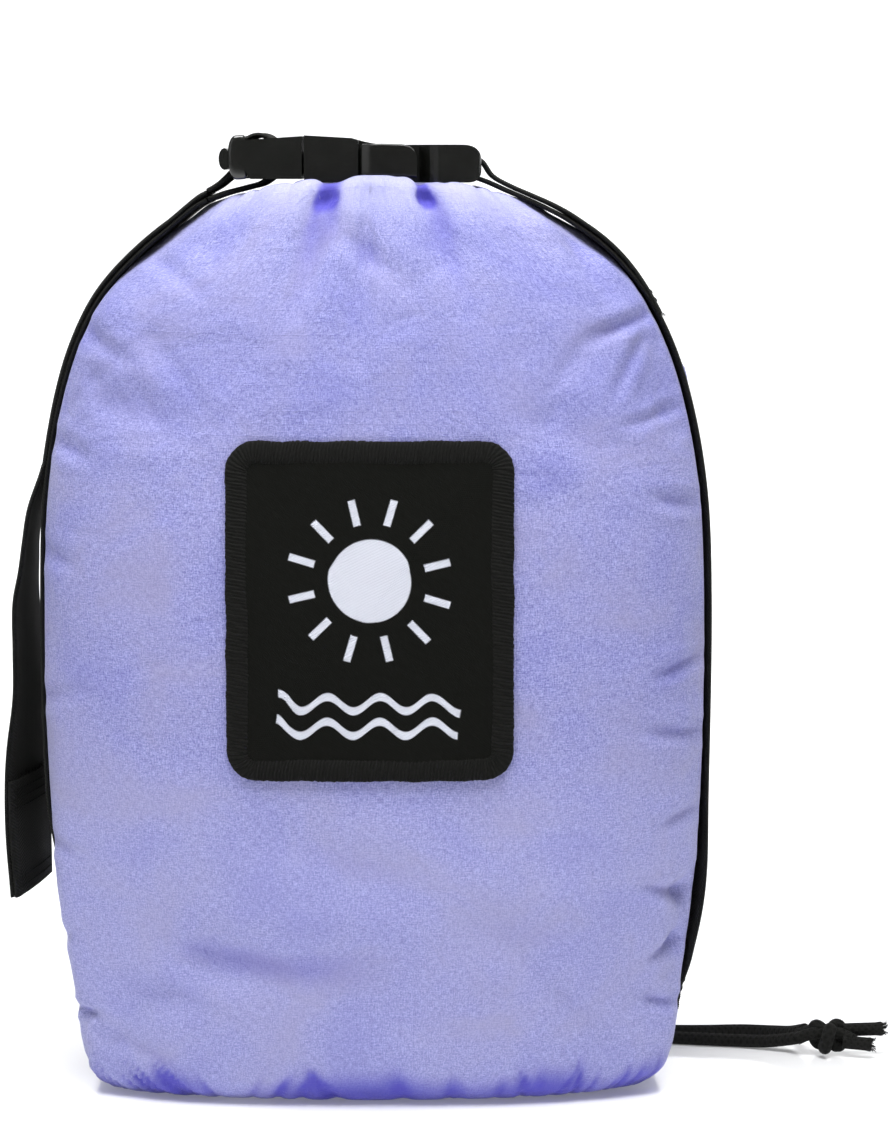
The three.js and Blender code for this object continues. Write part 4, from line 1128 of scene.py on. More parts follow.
    def _build_base(self, cloth: bpy.types.Material) -> None:
        """Makes the base: a flat panel whose edge is drawn in by the gathers."""
        rim = self.skin[0]
        rings = []
        shares = np.concatenate([[1.0, 0.985, 0.96], np.linspace(0.92, 0.03, 15)])
        wave = 0.25 * MM * np.sin(self.turns * 37) + 0.2 * MM * np.sin(self.turns * 23 + 1)
        for share in shares:
            ring = rim * [share, share, 1.0]
            ring[:, 2] = 0.3 * MM + (0.9 * MM + wave * share) * ease(1 - share, 0.0, 0.05) * share
            rings.append(ring)
        rings.append(np.zeros_like(rim) + [0, 0, 1.0 * MM])
        grid = np.array(rings)[:, ::-1]
        across = np.concatenate([grid[..., :2], grid[:, :1, :2]], axis=1)
        maker = Maker("base_panel_cloth")
        maker.grid(grid, across, wrap=True)
        base = maker.build(cloth, "bag", "cloth")
        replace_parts(base, "base_panel")

    def _build_hem(self, cloth: bpy.types.Material) -> None:
        """Makes the hem, a tube of cloth gathered on the drawstring."""
        count, sides = 640, 24
        turns = np.linspace(0.0, 2 * math.pi, count + 1)[:-1]
        middle = self.mouth.line(turns)
        along = unit(np.roll(middle, -1, axis=0) - np.roll(middle, 1, axis=0))
        out = unit(np.cross(along, [0.0, 0.0, 1.0]))
        up = np.cross(out, along)
        pleat = self.pleat_depth(turns, np.zeros(count))
        fine = 0.35 * MM * (np.sin(turns * 61 + np.sin(turns * 7) * 2) + np.sin(turns * 47 + 1))
        around = np.linspace(0.0, 2 * math.pi, sides, endpoint=False)
        soft = 0.75 + 0.25 * np.cos(around)
        size = self.hem_radius + (fine[:, None] - pleat[:, None]) * soft[None, :]
        size = np.maximum(size, 2.45 * MM)[..., None]
        middle = middle - out * np.clip(pleat - 1.0 * MM, 0, 1.0 * MM)[:, None]
        ring = middle[:, None] + size * (
            out[:, None] * np.cos(around)[None, :, None] + up[:, None] * np.sin(around)[None, :, None])
        ring = np.concatenate([ring, ring[:1]])
        run = np.linspace(0.0, self.hem_length, count + 1)
        wrap = np.linspace(0.0, 2 * math.pi * self.hem_radius, sides + 1)
        place = np.stack(np.broadcast_arrays(run[:, None], wrap[None, :]), -1)
        maker = Maker("mouth_hem_cloth")
        # Painted shade: the hem is coloured darker in its gathers.
        fold = np.clip(pleat / (1.2 * MM), 0, 1)
        fold = np.repeat(np.concatenate([fold, fold[:1]])[:, None], sides, axis=1)
        maker.grid(ring, place, wrap=True, fold=fold)
        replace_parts(maker.build(cloth, "bag", "cloth"), "hem_front", "hem_back")


# ------------------------------------------------------------------ the label patch
@dataclass
class PatchSeat:
    """The smooth surface that a stiff patch takes on the filled front wall."""

    skin: np.ndarray
    middle: float = 186.5 * MM
    lift: float = 0.8 * MM

    def __post_init__(self) -> None:
        """Fits a low smooth surface to the cloth under the patch."""
        points = self.skin[self.skin[..., 1] < 0]
        near = (np.abs(points[:, 0]) < 60 * MM) & (np.abs(points[:, 2] - self.middle) < 72 * MM)
        points = points[near]
        self.factors = np.linalg.lstsq(self._terms(points[:, 0], points[:, 2]), points[:, 1], rcond=None)[0]

    def _terms(self, x: np.ndarray, z: np.ndarray) -> np.ndarray:
        """The powers of the two places that the surface is made of."""
        u, v = x / (60 * MM), (z - self.middle) / (70 * MM)
        return np.stack([u**i * v**j for i in range(5) for j in range(4)], -1)

    def depth_at(self, x: np.ndarray, z: np.ndarray) -> np.ndarray:
        """Where the patch's back is, along Y."""
        return self._terms(x, z) @ self.factors - self.lift


@dataclass
class LabelPatch:
    """A round-cornered twill patch with an embroidered emblem and an overcast edge."""

    seat: PatchSeat
    width: float = 104 * MM
    height: float = 123 * MM
    corner: float = 11 * MM
    thickness: float = 1.3 * MM
    border: float = 8.4 * MM
    border_height: float = 2.1 * MM
    finish: PatchTwill = field(default_factory=PatchTwill)
    thread: ThreadFinish = field(default_factory=ThreadFinish)

    def _outline(self, inset: float, count: int) -> np.ndarray:
        """Points round a round-cornered outline, inset from the patch's edge.

        Args:
            inset: distance in from the edge.
            count: how many points.

        Returns:
            The points, x and height from the patch's middle, closed.
        """
        radius = self.corner - inset
        a, b = self.width / 2 - self.corner, self.height / 2 - self.corner
        line = []
        for x, z, quarter in ((a, b, 0), (-a, b, 1), (-a, -b, 2), (a, -b, 3)):
            turn = np.radians(90 * quarter + np.linspace(0, 90, 16))
            line.append(np.stack([x + radius * np.cos(turn), z + radius * np.sin(turn)], 1))
        return evenly(np.vstack([*line, line[0][:1]]), count + 1)

    def _lifted(self, flat: np.ndarray, lift: np.ndarray | float) -> np.ndarray:
        """Points of the patch's frame, put on the bag at a height over the cloth."""
        x, z = flat[..., 0], flat[..., 1] + self.seat.middle
        return np.stack([x, self.seat.depth_at(x, z) - lift, z], -1)

    def build(self) -> None:
        """Makes the patch and its edge."""
        ring = self._outline(self.border * 0.45, 240)[:-1]
        shares = np.concatenate([[1.0], np.linspace(1.0, 0.02, 40)])
        flat = ring[None] * shares[:, None, None]
        rise = np.full(flat.shape[:2], self.thickness)
        rise[0] = 0.0
        rise += 0.25 * MM * np.sin(flat[..., 0] / (9 * MM)) * np.sin(flat[..., 1] / (13 * MM))
        maker = Maker("label_patch_twill")
        place = np.concatenate([flat, flat[:, :1]], axis=1)
        maker.grid(self._lifted(flat, rise)[:, ::-1], place[:, ::-1], wrap=True, caps=True)
        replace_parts(maker.build(self.finish.material(), "bag", "patch"), "label_patch")
        self._build_border()

    def _build_border(self) -> None:
        """Makes the overcast edge, a rounded band of packed thread."""
        count, sides = 620, 13
        ring = self._outline(self.border / 2, count)[:-1]
        out = np.roll(ring, -1, axis=0) - np.roll(ring, 1, axis=0)
        out = unit(np.stack([out[:, 1], -out[:, 0]], 1))
        run = np.linspace(0.0, 1.0, count, endpoint=False) * 2 * math.pi
        chance = np.random.default_rng(3)
        wobble = sum(chance.uniform(0.02, 0.07) * np.sin(run * k + chance.uniform(0, 6))
                     for k in range(9, 33, 2))
        fuzz = chance.normal(0.0, 0.10, (count, sides))
        turn = np.linspace(math.pi, 0.0, sides)
        aside = (np.cos(turn)[None, :] * (self.border / 2)
                 + (wobble[:, None] + fuzz) * MM * np.abs(np.cos(turn)))
        rise = np.sin(turn)[None, :] ** 0.55 * self.border_height * (1 + 0.06 * fuzz) - 0.1 * MM
        rise = rise + 0.12 * MM * np.sin(run * 190)[:, None]
        flat = ring[:, None] + out[:, None] * aside[..., None]
        grid = self._lifted(flat, rise + 0.0 * aside)
        grid = np.concatenate([grid, grid[:1]])
        length = 2 * (self.width + self.height) - 8 * self.corner
        along = np.linspace(0.0, length, count + 1)
        across = np.linspace(0.0, self.border, sides)
        place = np.stack(np.broadcast_arrays(across[None, :], along[:, None]), -1)
        maker = Maker("patch_border_thread")
        maker.grid(grid, place)
        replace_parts(maker.build(self.thread.material(), "bag", "patch"), "patch_border")


# ------------------------------------------------------------------ webbing
@dataclass
class Ribbon:
    """A length of webbing along a line, with a lip at each woven edge.

    The line runs through the middle of the webbing; across gives the direction of its width.
    """

    line: np.ndarray
    across: np.ndarray
    half_width: float = 25 * MM
    thickness: float = 1.6 * MM
    cup: np.ndarray | float = 0.0
    start: float = 0.0

    def even(self, gap: float = 0.9 * MM) -> "Ribbon":
        """The same webbing with evenly spaced stations."""
        run = run_of(self.line)
        places = np.linspace(0.0, run[-1], max(8, int(run[-1] / gap)))
        line, across = (np.stack([np.interp(places, run, v[:, k]) for k in range(3)], 1)
                        for v in (self.line, self.across))
        cup = np.interp(places, run, np.broadcast_to(self.cup, run.shape))
        return Ribbon(line, unit(across), self.half_width, self.thickness, cup, self.start)

    def frame(self) -> tuple[np.ndarray, np.ndarray]:
        """The width direction and the outward direction at each station."""
        along = unit(np.gradient(self.line, axis=0))
        across = unit(self.across - along * np.sum(self.across * along, axis=1, keepdims=True))
        return across, np.cross(across, along)

    def point(self, run: float, place: float, lift: float) -> np.ndarray:
        """A point on the webbing.

        Args:
            run: how far along it.
            place: how far across it, from -1 to 1.
            lift: height over its middle, outward.

        Returns:
            The point.
        """
        length = run_of(self.line)
        k = int(np.clip(np.searchsorted(length, run), 1, len(length) - 1))
        share = np.clip((run - length[k - 1]) / (length[k] - length[k - 1]), 0, 1)
        across, out = self.frame()
        middle = self.line[k - 1] + (self.line[k] - self.line[k - 1]) * share
        sag = np.broadcast_to(self.cup, length.shape)[k] * place**2
        return middle + across[k] * place * self.half_width + out[k] * (lift - sag)

    def add_to(self, maker: Maker, seed: int = 1) -> None:
        """Adds the webbing's closed section to a maker."""
        chance = np.random.default_rng(seed)
        across, out = self.frame()
        run = run_of(self.line)
        count = len(run)
        half = 14
        share = np.concatenate([[-1.0, -0.985, -0.955, -0.90], np.linspace(-0.8, 0.8, half - 7),
                                [0.90, 0.955, 0.985, 1.0]])
        lip = 1.0 + 0.18 * np.exp(-(((np.abs(share) - 0.94) / 0.05) ** 2))
        body = np.clip(1.12 - np.abs(share) ** 26, 0.12, 1.0) * lip
        faces = np.concatenate([share, share[::-1]])
        level = np.concatenate([body, -body[::-1]]) * self.thickness / 2
        teeth = 0.2 * MM * np.abs(np.sin((run + self.start) * math.pi / (1.8 * MM)))
        teeth = teeth + chance.normal(0.0, 0.05, count) * MM
        wide = self.half_width + np.where(np.abs(faces)[None, :] > 0.97, teeth[:, None], 0.0)
        aside = faces[None, :] * wide
        cup = np.broadcast_to(self.cup, (count,))[:, None] * faces[None, :] ** 2
        slow = 0.12 * MM * np.sin(run / (23 * MM) + seed)[:, None] * faces[None, :]
        height = level[None, :] - cup + slow
        ring = self.line[:, None] + across[:, None] * aside[..., None] + out[:, None] * height[..., None]
        girth = np.concatenate([share, 2.07 - share[::-1], [2.14 + 1.0]]) * self.half_width
        place = np.stack(np.broadcast_arrays(girth[None, :], (run + self.start)[:, None]), -1)
        maker.grid(ring[:, ::-1], place[:, ::-1], wrap=True, caps=True)


@dataclass
class Stitching:
    """Rows of thread across webbing, and the fuzz at its cut end."""

    thread: float = 0.32 * MM
    length: float = 2.6 * MM
    gap: float = 0.9 * MM

    def _one(self, maker: Maker, ribbon: Ribbon, start: Point, end: Point, lift: float) -> None:
        """Adds one stitch between two places, each a run along the webbing and a share across it."""
        sunk = lift - 0.15 * MM
        out = ribbon.point(*start, lift + 1.0) - ribbon.point(*start, lift)
        maker.stitch(ribbon.point(*start, sunk), ribbon.point(*end, sunk), out * 0.3 * MM, self.thread)

    def row(self, maker: Maker, ribbon: Ribbon, run: float, lift: float, reach: float = 0.92) -> None:
        """Adds a row of stitches across the webbing.

        Args:
            maker: collects the thread.
            ribbon: the webbing.
            run: how far along it the row is.
            lift: height of the webbing's face over its middle.
            reach: the share of the half width that the row covers.
        """
        step = (self.length + self.gap) / ribbon.half_width
        for place in np.arange(-reach, reach - step * 0.8, step):
            self._one(maker, ribbon, (run, place), (run, place + self.length / ribbon.half_width), lift)

    def column(self, maker: Maker, ribbon: Ribbon, place: float, start: float, end: float,
               lift: float) -> None:
        """Adds a row of stitches along the webbing, at a place across it."""
        for run in np.arange(start, end - self.length, self.length + self.gap):
            self._one(maker, ribbon, (run, place), (run + self.length, place), lift)

    def foot(self, maker: Maker, ribbon: Ribbon) -> None:
        """Adds the box of stitches that holds the webbing's lower end to the bag."""
        for up in (5.0, 9.0):
            self.row(maker, ribbon, up * MM, 0.95 * MM)
        for place in (-0.8, 0.8):
            self.column(maker, ribbon, place, 5 * MM, 24 * MM, 0.8 * MM)

    def fray(self, maker: Maker, ribbon: Ribbon, at_end: bool, count: int, seed: int) -> None:
        """Adds loose thread ends along the webbing's cut end.

        Args:
            maker: collects the thread.
            ribbon: the webbing.
            at_end: whether it is the last end of the line.
            count: how many threads.
            seed: number that the chances start from.
        """
        chance = np.random.default_rng(seed)
        across, out = ribbon.frame()
        k = -1 if at_end else 0
        along = unit(ribbon.line[-1] - ribbon.line[-2]) if at_end else unit(ribbon.line[0] - ribbon.line[1])
        length = run_of(ribbon.line)[k]
        for _ in range(count):
            place = chance.uniform(-0.96, 0.96)
            root = ribbon.point(length, place, chance.uniform(-0.4, 0.4) * MM) - along * 0.6 * MM
            lean = across[k] * chance.normal(0.0, 0.7) + out[k] * chance.normal(0.1, 0.5)
            reach = chance.uniform(0.7, 2.4) * MM
            share = np.linspace(0.0, 1.0, 6)[:, None]
            path = root + (along * share + lean * share**2) * (reach + 0.6 * MM)
            maker.tube(path, 0.13 * MM * (1.1 - share[:, 0] * 0.7), 5)


@dataclass
class Straps:
    """The one wide strap: up both sides of the bag and buckled over its mouth."""

    sack: Sack
    stand_off: float = 1.15 * MM
    second: float = 3.0 * MM
    low_end: float = 24 * MM
    lie_top: float = 322 * MM
    over_hem: float = 334.6 * MM
    tail_top: float = 236.17 * MM
    tail_hang: tuple = (  # across, down and twist in degrees, from the tail's top
        (0, 0, 0), (-1.2, -4, 0), (-5.6, -17, 0), (-7.7, -31, 0), (-8.4, -40, 1.2), (-9.6, -52, 3.8),
        (-9.2, -70, 5.5), (-8.8, -86, 7), (-9.4, -108, 11), (-9.8, -136, 11), (-8.8, -163, 9),
    )
    loop: tuple = (
        (-59.9, 333.9), (-54, 336.0), (-46, 338.1), (-39.9, 340.0), (-35.7, 344), (-35.1, 351),
        (-37.2, 355.8), (-41.4, 357.4), (-45.6, 355.8), (-47.7, 351), (-48.4, 346),
        (-51.2, 342.6), (-55.5, 339.4), (-60.2, 336.9),
    )
    finish: WovenWebbing = field(default_factory=WovenWebbing)
    thread: ThreadFinish = field(
        default_factory=lambda: ThreadFinish("black stitching", pitch=0.5 * MM, depth=0.1 * MM))
    stitching: Stitching = field(default_factory=Stitching)

    def __post_init__(self) -> None:
        """Makes the two materials that the pieces share."""
        self.webbing = self.finish.material()
        self.sewing = self.thread.material()

    def _beside(self, side: int, low: float, high: float, off: float) -> np.ndarray:
        """The line of webbing that lies on one side of the bag, from low to high.

        Args:
            side: 1 on the right and -1 on the left.
            low: height of its lower end.
            high: height of its upper end.
            off: how far its middle is off the cloth.

        Returns:
            Points in x and z, upward.
        """
        line = self.sack.side_line(side)
        line = line[line[:, 1] < self.over_hem - 8 * MM]
        along = unit(np.gradient(line, axis=0))
        out = np.stack([along[:, 1], -along[:, 0]], 1) * side
        line = line + out * off
        heights = np.linspace(low, high, max(12, int((high - low) / (1.5 * MM))))
        order = np.maximum.accumulate(line[:, 1] + np.arange(len(line)) * 1e-9)
        return np.stack([np.interp(heights, order, line[:, 0]), heights], 1)

    def _ribbon(self, line: np.ndarray, cup: np.ndarray | float = 0.0, start: float = 0.0) -> Ribbon:
        """A ribbon across Y along a line in x and z."""
        full = np.stack([line[:, 0], np.zeros(len(line)), line[:, 1]], 1)
        return Ribbon(full, np.tile([0.0, 1.0, 0.0], (len(line), 1)), cup=cup, start=start).even()

    def _cup(self, line: np.ndarray, sag: float) -> np.ndarray:
        """How far the webbing's edges sag toward the cloth, by height."""
        height = line[:, 1] / MM
        return sag * ease(height, 30, 70) * (1 - ease(height, 285, 318))

    def build_right(self) -> None:
        """Makes the right strap: up the side, round the buckle's bar and back down."""
        rise = self._beside(1, self.low_end, self.lie_top, self.stand_off)
        climb = np.array([(71.3, 327.1), (64.8, 330.4), (59.2, 333.0), (50, 336.9), (42, 340.4)]) * MM
        turn = np.radians(np.linspace(-70, -290, 26))
        bend = np.stack([34.5 * MM + 4.0 * MM * np.cos(turn), 346 * MM + 4.0 * MM * np.sin(turn)], 1)
        back = np.array([(40.6, 347.8), (44.6, 342.4), (51, 338.7), (59.9, 334.8), (65.8, 332.2),
                         (72.3, 328.8)]) * MM
        fall = self._beside(1, 292 * MM, 324 * MM, self.second)[::-1]
        line = smooth_line(np.vstack([rise, climb, bend, back, fall]), 900)
        height = line[:, 1] / MM
        cup = self._cup(line, -0.9 * MM) - 2.1 * MM * hump(height - 76, 26.0)
        ribbon = self._ribbon(line, cup + 2.4 * MM * (1 - ease(height, 30, 50)))
        maker = Maker("strap_right_webbing")
        ribbon.add_to(maker, 2)
        piece = maker.build(self.webbing, "bag", "webbing")
        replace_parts(piece, "strap_right")
        sewing = Maker("strap_right_stitches")
        length = run_of(ribbon.line)[-1]
        for back_off in (5.0, 8.5):
            self.stitching.row(sewing, ribbon, length - back_off * MM, -0.95 * MM)
            self.stitching.row(sewing, ribbon, length - back_off * MM, 0.95 * MM)
        self.stitching.fray(sewing, ribbon, True, 60, 4)
        self.stitching.foot(sewing, ribbon)
        sewing.build(self.sewing, "bag", "webbing")

    def build_left(self) -> None:
        """Makes the left strap, from the base seam up to the mouth."""
        rise = self._beside(-1, self.low_end, self.lie_top, self.stand_off)
        top = np.array([(-64.6, 331.4), (-60.4, 333.6)]) * MM
        line = smooth_line(np.vstack([rise, top]), 520)
        tuck = 2.6 * MM * (1 - ease(line[:, 1] / MM, 82, 112))
        ribbon = self._ribbon(line, self._cup(line, 0.3 * MM) + tuck)
        maker = Maker("strap_left_webbing")
        ribbon.across = -ribbon.across
        ribbon.add_to(maker, 5)
        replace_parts(maker.build(self.webbing, "bag", "webbing"), "strap_left")
        sewing = Maker("strap_left_stitches")
        self.stitching.foot(sewing, ribbon)
        sewing.build(self.sewing, "bag", "webbing")

    def build_loop(self) -> None:
        """Makes the adjuster loop between the strap and the buckle's plug."""
        line = smooth_line(np.array(self.loop) * MM, 260)
        share = run_of(line) / run_of(line)[-1]
        cup = 1.3 * MM * np.sin(math.pi * ease(share, 0.66, 1.0))
        ribbon = self._ribbon(line, cup, 40 * MM)
        ribbon.across = -ribbon.across
        maker = Maker("strap_adjuster_webbing")
        ribbon.add_to(maker, 7)
        piece = maker.build(self.webbing, "", "webbing")
        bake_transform(piece)
        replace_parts(piece, "strap_adjuster_loop")

    def build_tail(self) -> None:
        """Makes the strap's loose end: flat on the shoulder, then hanging and twisted."""
        fall = self._beside(-1, self.tail_top, 326 * MM, self.second)[::-1]
        top = np.array([(-60.4, 336.4), (-63.6, 334.6)]) * MM
        line = smooth_line(np.vstack([top, fall]), 300)
        ribbon = self._ribbon(line, self._cup(line, 0.6 * MM))
        maker = Maker("strap_tail_on_shoulder_webbing")
        ribbon.add_to(maker, 9)
        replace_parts(maker.build(self.webbing, "bag", "webbing"), "strap_tail_on_shoulder")
        end = line[-1]
        hang = smooth_line(np.array(self.tail_hang) * MM, 230)
        twist = np.radians(hang[:, 2] / MM)
        line = hang[:, :2] + end
        share = run_of(line) / run_of(line)[-1]
        across = np.stack([-np.sin(twist), -np.cos(twist), np.zeros(len(line))], 1)
        full = np.stack([line[:, 0], np.zeros(len(line)), line[:, 1]], 1)
        cup = 0.6 * MM * (1 - ease(share, 0.0, 0.3)) - 0.9 * MM * ease(share, 0.55, 0.75)
        ribbon = Ribbon(full, -across, cup=cup).even()
        maker = Maker("strap_tail_webbing")
        ribbon.add_to(maker, 10)
        second = self._hem(ribbon)
        second.add_to(maker, 11)
        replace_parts(maker.build(self.webbing, "free_end", "webbing"), "strap_tail")
        sewing = Maker("strap_tail_stitches")
        length = run_of(second.line)[-1]
        for up in (3.5, 7.0, 33.0, 36.5, 40.0):
            self.stitching.row(sewing, second, length - up * MM, -0.95 * MM)
            self.stitching.row(sewing, second, length - up * MM, 2.55 * MM)
        self.stitching.fray(sewing, second, False, 50, 6)
        sewing.build(self.sewing, "free_end", "webbing")

    def _hem(self, ribbon: Ribbon) -> Ribbon:
        """The layer of webbing folded back on the inner face of the tail's end."""
        length = run_of(ribbon.line)
        keep = length > length[-1] - 44 * MM
        out = ribbon.frame()[1]
        line = ribbon.line[keep] - out[keep] * 1.62 * MM
        return Ribbon(line, ribbon.across[keep], cup=np.broadcast_to(ribbon.cup, length.shape)[keep],
                      start=0.2).even()

    def build(self) -> None:
        """Makes every piece of webbing."""
        self.build_right()
        self.build_left()
        self.build_loop()
        self.build_tail()


# ------------------------------------------------------------------ moulded and metal parts
@dataclass
class Hardware:
    """The buckle, the cord lock and the eyelets: their solids with soft edges and finishes."""

    plastic: MouldedPlastic = field(default_factory=MouldedPlastic)
    spring: Metal = field(default_factory=lambda: Metal("spring steel", (0.42, 0.42, 0.44), 0.28, 1.0))
    eyelet: Metal = field(
        default_factory=lambda: Metal("black enamelled brass", (0.03, 0.03, 0.032), 0.3, 0.7))
    press: float = 4.2 * MM
    plastics: tuple[str, ...] = (
        "buckle_socket", "buckle_plug", "cord_lock_barrel", "cord_lock_button",
    )

    def _soften(self, node: str, width: float, segments: int) -> bpy.types.Object:
        """Rounds a solid's sharp edges and shades it by weight."""
        solid = bpy.data.objects[node]
        bevel = solid.modifiers.new("bevel", "BEVEL")
        bevel.width = width
        bevel.segments = segments
        bevel.limit_method = "ANGLE"
        bevel.angle_limit = math.radians(32)
        bevel.harden_normals = False
        for polygon in solid.data.polygons:
            polygon.use_smooth = True
        normals = solid.modifiers.new("normals", "WEIGHTED_NORMAL")
        normals.keep_sharp = True
        return solid

    def _dress(self, node: str, material: bpy.types.Material) -> None:
        """Gives a solid its only material."""
        solid = bpy.data.objects[node]
        solid.data.materials.clear()
        solid.data.materials.append(material)

    def _build_prongs(self, plastic: bpy.types.Material) -> None:
        """Makes the plug's two prongs, whose wide ends show in the socket's windows."""
        for name, side in (("front", -1), ("back", 1)):
            stations = [(-27.4, 19.2, 2.0, 343.0, 351.0), (-16, 19.6, 2.0, 343.0, 351.0),
                        (-8, 22.0, 2.2, 342.8, 351.4), (-4.0, 26.4, 3.2, 342.4, 352.6),
                        (-3.0, 27.9, 3.5, 342.0, 354.0), (4, 28.1, 3.5, 341.8, 354.2),
                        (11, 28.1, 3.5, 341.8, 354.0)]
            for turn in np.radians(np.linspace(12, 84, 9)):
                stations.append((11 + 6.3 * math.sin(turn), 28.1 - 0.6 * math.sin(turn), 3.5,
                                 341.8, 347.6 + 6.4 * math.cos(turn)))
            maker = Maker(f"buckle_prong_{name}_moulded")
            maker.loft([(x, side * y, half, low, high) for x, y, half, low, high in stations], 1.1)
            piece = maker.build(plastic, f"prong_{name}", "buckle_plastic")
            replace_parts(piece, f"buckle_prong_{name}")

    def _build_ends(self, plastic: bpy.types.Material, lip: bpy.types.Material) -> None:
        """Makes the plug's rounded end cheeks and the wall inside the socket."""
        for side in (-1, 1):
            maker = Maker("buckle_plug_cheek_" + ("front" if side < 0 else "back"))
            rows, columns = 30, 36
            v = np.linspace(-math.pi / 2, math.pi / 2, rows)[:, None]
            u = np.linspace(0.0, 2 * math.pi, columns, endpoint=False)[None, :]
            flat = signed_power(np.cos(v), 0.45)
            x = 3.4 * flat * signed_power(np.cos(u), 0.6)
            y = 2.75 * signed_power(np.cos(v), 0.35) * signed_power(np.sin(u), 0.5)
            z = 8.1 * signed_power(np.sin(v), 0.65) + 0 * u
            bend = 1.0 * (1 - (z / 8.1) ** 2)
            lean = math.radians(4)
            points = np.stack([-47.9 - bend + x * math.cos(lean) - z * math.sin(lean) * 0.5,
                               side * 28.2 + y, 349.2 + z + x * math.sin(lean)], -1)
            place = np.zeros((rows, columns + 1, 2))
            maker.grid(points * MM, place, wrap=True, caps=True)
            maker.build(lip, "plug", "buckle_plastic")
        maker = Maker("buckle_socket_inner_wall")
        maker.loft([(17.6, 0.0, 16.5, 342.0, 352.0), (22.5, 0.0, 16.5, 342.0, 352.0)], 0.6)
        maker.build(plastic, "bag", "buckle_plastic")

    def _build_spring(self) -> None:
        """Winds the cord lock's spring."""
        corners = np.array([tuple(c) for c in bpy.data.objects["cord_lock_spring"].bound_box])
        low, high = corners.min(axis=0), corners.max(axis=0)
        middle = (low + high) / 2
        wire, coils = 0.35 * MM, 3.5
        radius = (high[2] - low[2]) / 2 - wire
        share = np.linspace(0.0, 1.0, 260)
        turn = 2 * math.pi * coils * share
        rise = low[1] + wire + (high[1] - low[1] - 2 * wire) * share
        path = np.stack([middle[0] + radius * np.cos(turn), rise, middle[2] + radius * np.sin(turn)], 1)
        maker = Maker("cord_lock_spring_wire")
        maker.tube(path, wire, 12)
        piece = maker.build(self.spring.material(), "cord_lock", "spring_steel")
        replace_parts(piece, "cord_lock_spring")
        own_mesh(piece)

    def build(self) -> None:
        """Makes and dresses the plastic, spring and eyelet pieces."""
        plastic = self.plastic.material()
        self._build_prongs(plastic)
        lip = MouldedPlastic("polished black plastic", rough=0.16, gloss=0.9)
        self._build_ends(plastic, lip.material())
        for node in self.plastics:
            self._soften(node, 1.1 * MM, 3)
            self._dress(node, plastic)
        self._build_spring()
        enamel = self.eyelet.material()
        for node in ("eyelet_left", "eyelet_right"):
            self._soften(node, 0.3 * MM, 2)
            self._dress(node, enamel)


# ------------------------------------------------------------------ the drawstring
class Strand(Enum):
    """The two strands of the drawstring in front of the bag, with the side of each."""

    LEFT = -1
    RIGHT = 1


